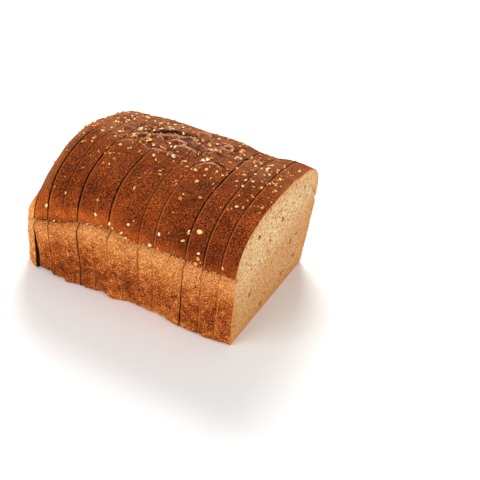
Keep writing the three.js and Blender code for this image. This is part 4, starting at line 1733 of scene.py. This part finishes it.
@dataclass(frozen=True)
class BitFinish(Finish):
    """Small baked toppings whose tone runs from pale to toasted, piece by piece."""

    shine: float = 0.08
    roughness: float = 0.6
    tones: Tones = ()
    mottle_size: float = 0.0012
    mottling: float = 0.22

    def make(self, grain: Tree) -> Material:
        """Makes the material.

        Args:
            grain: The grain group.

        Returns:
            The material.
        """
        material, bench, shader = self.bench()
        shader.inputs["Roughness"].default_value = self.roughness
        varied = bench.wander(bench.grain(grain, self.mottle_size)["Mottle"], self.mottling)
        tone = bench.plus(bench.value("tone"), varied, clamp=True)
        bench.feed(shader.inputs["Base Color"], bench.ramp(tone, self.tones))
        return material


OAT_TONES = screen_tones((0.0, 255, 238, 192), (0.4, 252, 210, 138), (0.7, 238, 164, 78), (1.0, 190, 102, 38))
BRAN_TONES = screen_tones((0.0, 252, 218, 150), (0.5, 238, 164, 82), (1.0, 190, 100, 40))
SEED_TONES = screen_tones((0.0, 98, 46, 18), (1.0, 50, 20, 8))


@dataclass(frozen=True)
class Palette:
    """Every material of the loaf, made once."""

    crust: Material
    heel: Material
    crumb: Material
    oat: Material
    bran: Material
    seed: Material


def make_palette() -> Palette:
    """Makes the shared node groups and the materials.

    Returns:
        Every material.
    """
    grain, bake = GrainGroup().make(), BakeGroup().make()
    return Palette(
        crust=CrustFinish("browned crust").make(grain, bake),
        heel=CrustFinish("heel crust", rim=0.1, foot=0.28, lip=0.22, crest=0.6).make(grain, bake),
        crumb=CrumbFinish("wholemeal crumb").make(grain),
        oat=BitFinish("oat flake", tones=OAT_TONES).make(grain),
        bran=BitFinish("golden bran", tones=BRAN_TONES).make(grain),
        seed=BitFinish("dark seed", tones=SEED_TONES).make(grain),
    )


@dataclass(frozen=True)
class Bit:
    """A small topping: its place and normal, its radii, its turn, its tone and its own shape."""

    place: Vector
    normal: Vector
    radii: tuple[float, float, float]
    turn: float
    tone: float
    seed: int
    slab: int | None = None


def crust_height(s: float, y: float) -> float:
    """Height of the crust over a place, folds and all, as the row's own flakes are laid."""
    at_s, at_y = np.array([float(s)]), np.array([float(y)])
    base = SHAPE.crease_height(at_s, -1.0 if y < 0 else 1.0) + SHAPE.lip_rise
    level = SHAPE.dome_height(at_s, at_y, base) + SHAPE.crest_work(at_s, at_y)
    return float((level + SHAPE.crust_swell(at_s, SHAPE.dome_around + at_y, 0) / 2)[0])


def crust_frame(s: float, y: float, step: float = 0.6) -> tuple[float, Vector]:
    """Height and outward normal of the crust over a place."""
    z = crust_height(s, y)
    inner = y - (1 if y >= 0 else -1) * step
    slope = (crust_height(s, inner) - z) / (inner - y)
    along = (crust_height(s + step, y) - crust_height(s - step, y)) / (2 * step)
    return z, Vector((along, -slope, 1)).normalized()


def crust_place(s: float, y: float) -> Vector:
    """The place of the crust over a point, drawn in with the rounded end."""
    at = SHAPE.draw_in(np.array([float(s)]), np.array([float(y)]), np.array([crust_height(s, y)]))[0]
    return Vector((-s, *at))


def slab_of(s: float) -> int:
    """The number of the slice that a place behind the front face belongs to."""
    return int(np.searchsorted(np.cumsum(ROW.thickness), s)) + 1


@dataclass(frozen=True)
class OatFlakes:
    """The oat flakes, where the row has them fused to its crust."""

    seed: int = 2024
    count: int = 110
    radius: Span = (2.1, 1.0)
    size_power: float = 0.7
    thickness: float = 0.8
    narrow: Span = (0.52, 0.85)
    tilt: float = 0.3
    lift: float = 0.3
    front: float = 2
    back: float = 14
    middle: float = 4
    spread: float = 19
    crease_share: float = 0.2
    crease_band: float = 3.5
    edge: float = 0.4
    darkest: float = 0.9
    core_share: float = 0.85
    splinters: int = 2
    splinter_reach: float = 0.6
    splinter_lift: float = 0.15
    splinter_tilt: float = 0.35
    splinter_size: Span = (0.3, 0.6)
    splinter_narrow: float = 0.7
    splinter_thin: float = 0.8
    splinter_turn: float = 3
    splinter_darker: Span = (0.1, 0.7)
    seeds_apart: int = 7

    def lay(self) -> list[Bit]:
        """The flakes in the row's own order.

        Returns:
            Every chip of them.
        """
        draw = SourceRandom(self.seed)
        reach = SHAPE.half_width - self.edge
        places = []
        for k in range(self.count):
            radius = lerp(*self.radius, ((k + 0.5) / self.count) ** self.size_power)
            s = lerp(self.front, SHAPE.length - self.back, draw())
            spread = self.middle + (draw() + draw() + draw() - 1.5) * 2 * self.spread
            side = -1 if draw() < 0.5 else 1
            on_crease = draw() < self.crease_share
            y = side * (SHAPE.half_width - self.crease_band * draw()) if on_crease else spread
            places.append((s, min(max(y, -reach), reach), radius))
        return [chip for number, place in enumerate(places) for chip in self.chips(number, *place, draw)]

    def chips(self, number: int, s: float, y: float, radius: float, draw: SourceRandom) -> list[Bit]:
        """One flake as the broken chips that it is made of.

        Args:
            number: Which flake.
            s: Distance behind the front face.
            y: Place across the loaf.
            radius: Half of its length.
            draw: The row's own random numbers.

        Returns:
            A large chip and the small ones that overlap it, laid on the crust and tilted a little.
        """
        _, normal = crust_frame(s, y)
        normal.x += self.tilt * (draw() - 0.5)
        normal.y += self.tilt * (draw() - 0.5)
        normal.normalize()
        width = radius * lerp(*self.narrow, draw())
        turn = draw() * math.pi
        middle = crust_place(s, y) + normal * self.lift
        own = np.random.default_rng(self.seed + number)
        tone = self.darkest * float(own.uniform()) ** 2
        radii = (self.core_share * radius, self.core_share * width, self.thickness / 2)
        made = [Bit(middle, normal, radii, turn, tone, number, slab_of(s))]
        for chip in range(1, 1 + self.splinters):
            aside = Vector((*own.uniform(-self.splinter_reach, self.splinter_reach, 2) * radius, 0))
            aside -= normal * aside.dot(normal)
            tilted = (normal + Vector(own.uniform(-self.splinter_tilt, self.splinter_tilt, 3))).normalized()
            size = float(own.uniform(*self.splinter_size)) * radius
            radii = (size, self.splinter_narrow * size, self.splinter_thin * self.thickness / 2)
            shade = min(1.0, tone + float(own.uniform(*self.splinter_darker)))
            place = middle + aside + normal * self.splinter_lift
            turn = float(own.uniform(0, self.splinter_turn))
            made.append(Bit(place, tilted, radii, turn, shade, self.seeds_apart * number + chip, slab_of(s)))
        return made


@dataclass(frozen=True)
class Toppings:
    """Many small pieces of one kind, joined to one mesh.

    Fineness is how often their template is divided, and ragged is how uneven they are.
    """

    name: str
    fineness: int
    ragged: float
    swell_size: float = 0.9
    swell_apart: float = 7.3
    curl: float = 0.35
    curl_size: float = 1.3
    curl_apart: float = 3.1
    clear: float = 0.05

    def shape(self, bit: Bit) -> bmesh.types.BMesh:
        """One piece, laid in its place.

        Args:
            bit: Where it lies, how large it is and how it is turned.

        Returns:
            Its closed mesh, in millimetres from the front face.
        """
        made = bmesh.new()
        bmesh.ops.create_icosphere(made, subdivisions=self.fineness, radius=1)
        unit = np.array([v.co for v in made.verts])
        around, flat = unit + self.swell_apart * bit.seed, unit * (1, 1, 0) + self.curl_apart * bit.seed
        swells = self.ragged * solid_noise(around, self.swell_size, Seed.BIT_SWELL)
        curls = self.curl * solid_noise(flat, self.curl_size, Seed.BIT_CURL)
        for vertex, swell, curl in zip(made.verts, swells, curls):
            vertex.co.x *= 1 + swell
            vertex.co.y *= 1 + swell
            vertex.co.z += curl
        turned = bit.normal.to_track_quat("Z", "Y").to_matrix().to_4x4()
        bmesh.ops.scale(made, vec=bit.radii, verts=made.verts)
        spun = turned @ Matrix.Rotation(bit.turn, 4, "Z")
        bmesh.ops.transform(made, matrix=Matrix.Translation(bit.place) @ spun, verts=made.verts)
        if bit.slab is not None:
            self.trim(made, bit.slab)
        return made

    def trim(self, made: bmesh.types.BMesh, slab: int) -> None:
        """Cuts a piece off where it would reach over a cut.

        Args:
            made: The piece, changed in place.
            slab: The number of the slice that it keeps to.
        """
        front, back = FACES[slab - 1]
        for cut, outward in ((front, 1), (back, -1)):
            at = Vector((cut.x - outward * self.clear, 0, 0))
            cutter = {"plane_co": at, "plane_no": cut.normal() * outward, "clear_outer": True}
            bmesh.ops.bisect_plane(made, geom=[*made.verts, *made.edges, *made.faces], dist=1e-5, **cutter)
            rim = [e for e in made.edges if e.is_boundary]
            if rim:
                bmesh.ops.holes_fill(made, edges=rim)

    def build(self, bits: list[Bit], material: Material) -> bpy.types.Object:
        """Joins the pieces to one object.

        Args:
            bits: Every piece.
            material: What they are made of.

        Returns:
            The object, in the row frame.
        """
        whole, bit_tones = bmesh.new(), []
        for bit in bits:
            made = self.shape(bit)
            if not made.faces:
                made.free()
                continue
            scratch = settle(made, "scratch")
            bit_tones += [bit.tone] * len(scratch.vertices)
            whole.from_mesh(scratch)
            bpy.data.meshes.remove(scratch)
        bmesh.ops.recalc_face_normals(whole, faces=whole.faces)
        mesh = settle(whole, self.name)
        write_places(mesh, place_in_row(read_places(mesh)))
        mesh.polygons.foreach_set("use_smooth", [True] * len(mesh.polygons))
        add_value(mesh, "tone", np.array(bit_tones))
        mesh.materials.append(material)
        return place_in_scene(self.name, mesh)


class Ground(Enum):
    """What bits are strewn over."""

    TOP = "the domed crust"
    SIDES = "both sides"
    FACE = "the front cut face"


@dataclass(frozen=True)
class Scatter:
    """Small bits strewn over the loaf.

    Their radii run from the smallest to the largest, flat is their thickness as a share of their
    length, and lift is how far they stand out. On the top they lie between a front and a back,
    thickest round a middle; on the sides they keep to a band, in shares of the way up to the
    shoulder.
    """

    ground: Ground
    count: int
    radius: Span
    flat: float
    lift: float
    seed: int
    front: float = 1
    back: float = 146
    middle: float = 0
    spread: float = 0
    band: Span = (0, 1)
    edge: float = 1.5
    side_lean: float = 0.2
    face_width: Span = (-50, 50)
    face_height: Span = (8, 78)
    size_power: float = 1.6
    narrow: Span = (0.35, 0.9)
    tilt: float = 0.25

    def lay(self) -> list[Bit]:
        """Lays every bit by seeded random numbers."""
        places = {Ground.TOP: self.on_top, Ground.SIDES: self.on_side, Ground.FACE: self.in_face}
        draw = np.random.default_rng(self.seed)
        return [self.bit(draw, number, *places[self.ground](draw, number)) for number in range(self.count)]

    def on_top(self, draw: Draw, _: int) -> Spot:
        """A spot on the domed crust."""
        s = float(draw.uniform(self.front, self.back))
        reach = SHAPE.half_width - self.edge
        y = float(np.clip(draw.normal(self.middle, self.spread), -reach, reach))
        _, normal = crust_frame(s, y)
        return crust_place(s, y) + normal * self.lift, normal, slab_of(s)

    def on_side(self, draw: Draw, number: int) -> Spot:
        """A spot on one side of the loaf, and on the other one for the next bit.

        Args:
            draw: Seeded random numbers.
            number: Which bit.

        Returns:
            Its place, the way it faces and its slice.
        """
        s, share = float(draw.uniform(self.front, self.back)), float(draw.uniform(*self.band))
        side = -1.0 if number % 2 else 1.0
        y, z = SHAPE.side(np.array([s]), np.array([share]), side, slab_of(s))
        place = Vector((-s, float(y[0]) + side * self.lift, float(z[0])))
        return place, Vector((0, side, self.side_lean)), slab_of(s)

    def in_face(self, draw: Draw, _: int) -> Spot:
        """A spot in the front cut face."""
        y, z = float(draw.uniform(*self.face_width)), float(draw.uniform(*self.face_height))
        return Vector((self.lift, y, z)), Vector((1, 0, 0)), None

    def bit(self, draw: Draw, number: int, place: Vector, normal: Vector, slab: int | None) -> Bit:
        """One bit of a random size, turn and tone.

        Args:
            draw: Seeded random numbers.
            number: Which bit.
            place: Where it lies.
            normal: The way it faces.
            slab: Its slice, or None in the front face.

        Returns:
            The bit.
        """
        size = lerp(*self.radius, float(draw.uniform()) ** self.size_power)
        radii = (size, size * float(draw.uniform(*self.narrow)), size * self.flat)
        turned = (normal + Vector(draw.uniform(-self.tilt, self.tilt, 3))).normalized()
        return Bit(place, turned, radii, float(draw.uniform(0, math.pi)), float(draw.uniform()), number, slab)


WALL_BAND = (0.08, 0.36)
LIP_BAND = (0.42, 0.56)
BRAN_BITS = (
    Scatter(Ground.TOP, 430, (0.45, 1.5), 0.5, 0.35, 31, front=4, back=150, middle=8, spread=20),
    Scatter(Ground.SIDES, 60, (0.35, 0.8), 0.4, 0.0, 53, back=138, band=WALL_BAND),
    Scatter(Ground.SIDES, 52, (0.6, 1.9), 0.4, 0.3, 59, back=138, band=LIP_BAND),
    Scatter(Ground.TOP, 80, (0.5, 1.6), 0.4, 0.3, 57, middle=-30, spread=16),
)
DARK_SEEDS = (
    Scatter(Ground.TOP, 46, (0.5, 1.0), 0.5, 0.1, 37, back=130, middle=-18, spread=24),
    Scatter(Ground.SIDES, 26, (0.4, 1.0), 0.3, 0.0, 47, back=138, band=WALL_BAND),
    Scatter(Ground.FACE, 6, (0.5, 1.1), 0.4, -0.1, 41),
)
CRUMB_GRAINS = (Scatter(Ground.FACE, 22, (0.4, 1.1), 0.4, 0.0, 43),)


@dataclass(frozen=True)
class Lamp:
    """A square softbox that looks at the loaf."""

    name: str
    place: tuple[float, float, float]
    size: float
    power: float

    def build(self, aim: Vector) -> None:
        """Hangs the lamp and turns it to what it lights.

        Args:
            aim: The place that it looks at, in metres.
        """
        data = bpy.data.lights.new(self.name, "AREA")
        data.size = self.size
        data.energy = self.power
        lamp = place_in_scene(self.name, data)
        lamp.location = self.place
        lamp.rotation_euler = (aim - Vector(self.place)).to_track_quat("-Z", "Y").to_euler()


@dataclass(frozen=True)
class Studio:
    """A pale floor, soft light and the camera at the picture's viewing angle."""

    eye: tuple[float, float, float] = (143.23, -434.29, 342.58)
    azimuth: float = 21.300
    elevation: float = 33.068
    roll: float = 9.070
    lens: float = 63.33
    sensor: float = 36
    floor_size: float = 4.0
    sky: float = 0.42
    aim: tuple[float, float, float] = (0, 0, 0.05)
    lamps: tuple[Lamp, ...] = (
        Lamp("lamp over the back", (-0.45, 0.85, 0.95), 0.5, 15.0),
        Lamp("lamp on the left", (-0.55, -1.15, 0.75), 0.9, 12.0),
        Lamp("lamp before the face", (1.3, -0.25, 0.7), 0.9, 8.0),
    )

    def build(self) -> None:
        """Builds the floor, the light and the camera."""
        scene = bpy.context.scene
        scene.view_settings.view_transform = "Standard"
        self.build_floor()
        world = bpy.data.worlds.new("studio")
        world.use_nodes = True
        world.node_tree.nodes["Background"].inputs["Color"].default_value = (1, 1, 1, 1)
        world.node_tree.nodes["Background"].inputs["Strength"].default_value = self.sky
        scene.world = world
        for lamp in self.lamps:
            lamp.build(Vector(self.aim))
        self.build_camera()

    def build_floor(self) -> None:
        """Lays the floor under the loaf."""
        made = bmesh.new()
        bmesh.ops.create_grid(made, x_segments=1, y_segments=1, size=self.floor_size / 2)
        floor = place_in_scene("floor", settle(made, "floor"))
        floor.data.materials.append(FloorFinish("pale floor").make())

    def build_camera(self) -> None:
        """Sets the camera where the picture was taken from."""
        azimuth, elevation, roll = (math.radians(v) for v in (self.azimuth, self.elevation, self.roll))
        level = math.cos(elevation)
        forward = Vector((-math.sin(azimuth) * level, math.cos(azimuth) * level, -math.sin(elevation)))
        across = Vector((math.cos(azimuth), math.sin(azimuth), 0))
        under = forward.cross(across)
        right = math.cos(roll) * across - math.sin(roll) * under
        down = math.sin(roll) * across + math.cos(roll) * under
        data = bpy.data.cameras.new("camera")
        data.lens = self.lens
        data.sensor_width = self.sensor
        camera = place_in_scene("camera", data)
        turned = Matrix((right, -down, -forward)).transposed().to_4x4()
        place = Vector(place_in_row(np.array([self.eye]))[0])
        camera.matrix_world = Matrix.Translation(place) @ turned
        bpy.context.scene.camera = camera


@dataclass
class Loaf:
    """The whole loaf: thirteen slices, the heel and what is strewn on them."""

    palette: Palette
    front_fineness: int = 200
    fineness: int = 112
    rings: int = 14
    heel_rings: int = 18

    def build(self) -> None:
        """Builds every piece and ties it to the row."""
        count = len(ROW.thickness)
        for number in range(1, 1 + count):
            fineness = self.front_fineness if number == 1 else self.fineness
            name = f"slice_{number:02d}"
            cutting = Cutting(f"bread_{name}", number, fineness, self.rings)
            self.dress(cutting, name, self.palette.crust)
        heel = Cutting("bread_heel", count + 1, self.fineness, self.heel_rings)
        self.dress(heel, "heel", self.palette.heel)
        self.strew()

    def dress(self, cutting: Cutting, node: str, crust: Material) -> None:
        """Builds one slice, gives it its materials and sets it in place of its CAD node.

        Args:
            cutting: The slice.
            node: The CAD node that it stands for.
            crust: Its crust.
        """
        built = cutting.build()
        built.data.materials.append(crust)
        built.data.materials.append(self.palette.crumb)
        if cutting.is_heel:
            turn_end_to_crust(built.data)
        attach(built, "root")
        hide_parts(node)
        LOG.info("%s: %d faces", built.name, len(built.data.polygons))

    def strew(self) -> None:
        """Strews oat flakes, bran and seeds over the loaf."""
        palette = self.palette
        kinds = (
            (Toppings("oat_flakes", 2, 0.42), (OatFlakes(),), palette.oat),
            (Toppings("bran_bits", 1, 0.75), BRAN_BITS, palette.bran),
            (Toppings("dark_seeds", 2, 0.2), DARK_SEEDS, palette.seed),
            (Toppings("crumb_grains", 2, 0.3), CRUMB_GRAINS, palette.bran),
        )
        for toppings, sources, material in kinds:
            bits = [bit for source in sources for bit in source.lay()]
            built = toppings.build(bits, material)
            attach(built, "root")
            LOG.info("%s: %d faces", built.name, len(built.data.polygons))


def turn_end_to_crust(mesh: bpy.types.Mesh, clear: float = 0.002) -> None:
    """Gives the heel's outer end, clear of its middle, the crust's material."""
    middle = sum((face.center for face in mesh.polygons), Vector()) / len(mesh.polygons)
    for face in mesh.polygons:
        if face.material_index == Zone.CRUMB.value and face.center.x < middle.x - clear:
            face.material_index = Zone.CRUST.value


def main() -> None:
    """Builds the loaf and the studio round it."""
    logging.basicConfig(level=logging.INFO, format="%(message)s")
    Loaf(make_palette()).build()
    Studio().build()


if __name__ == "__main__":
    main()
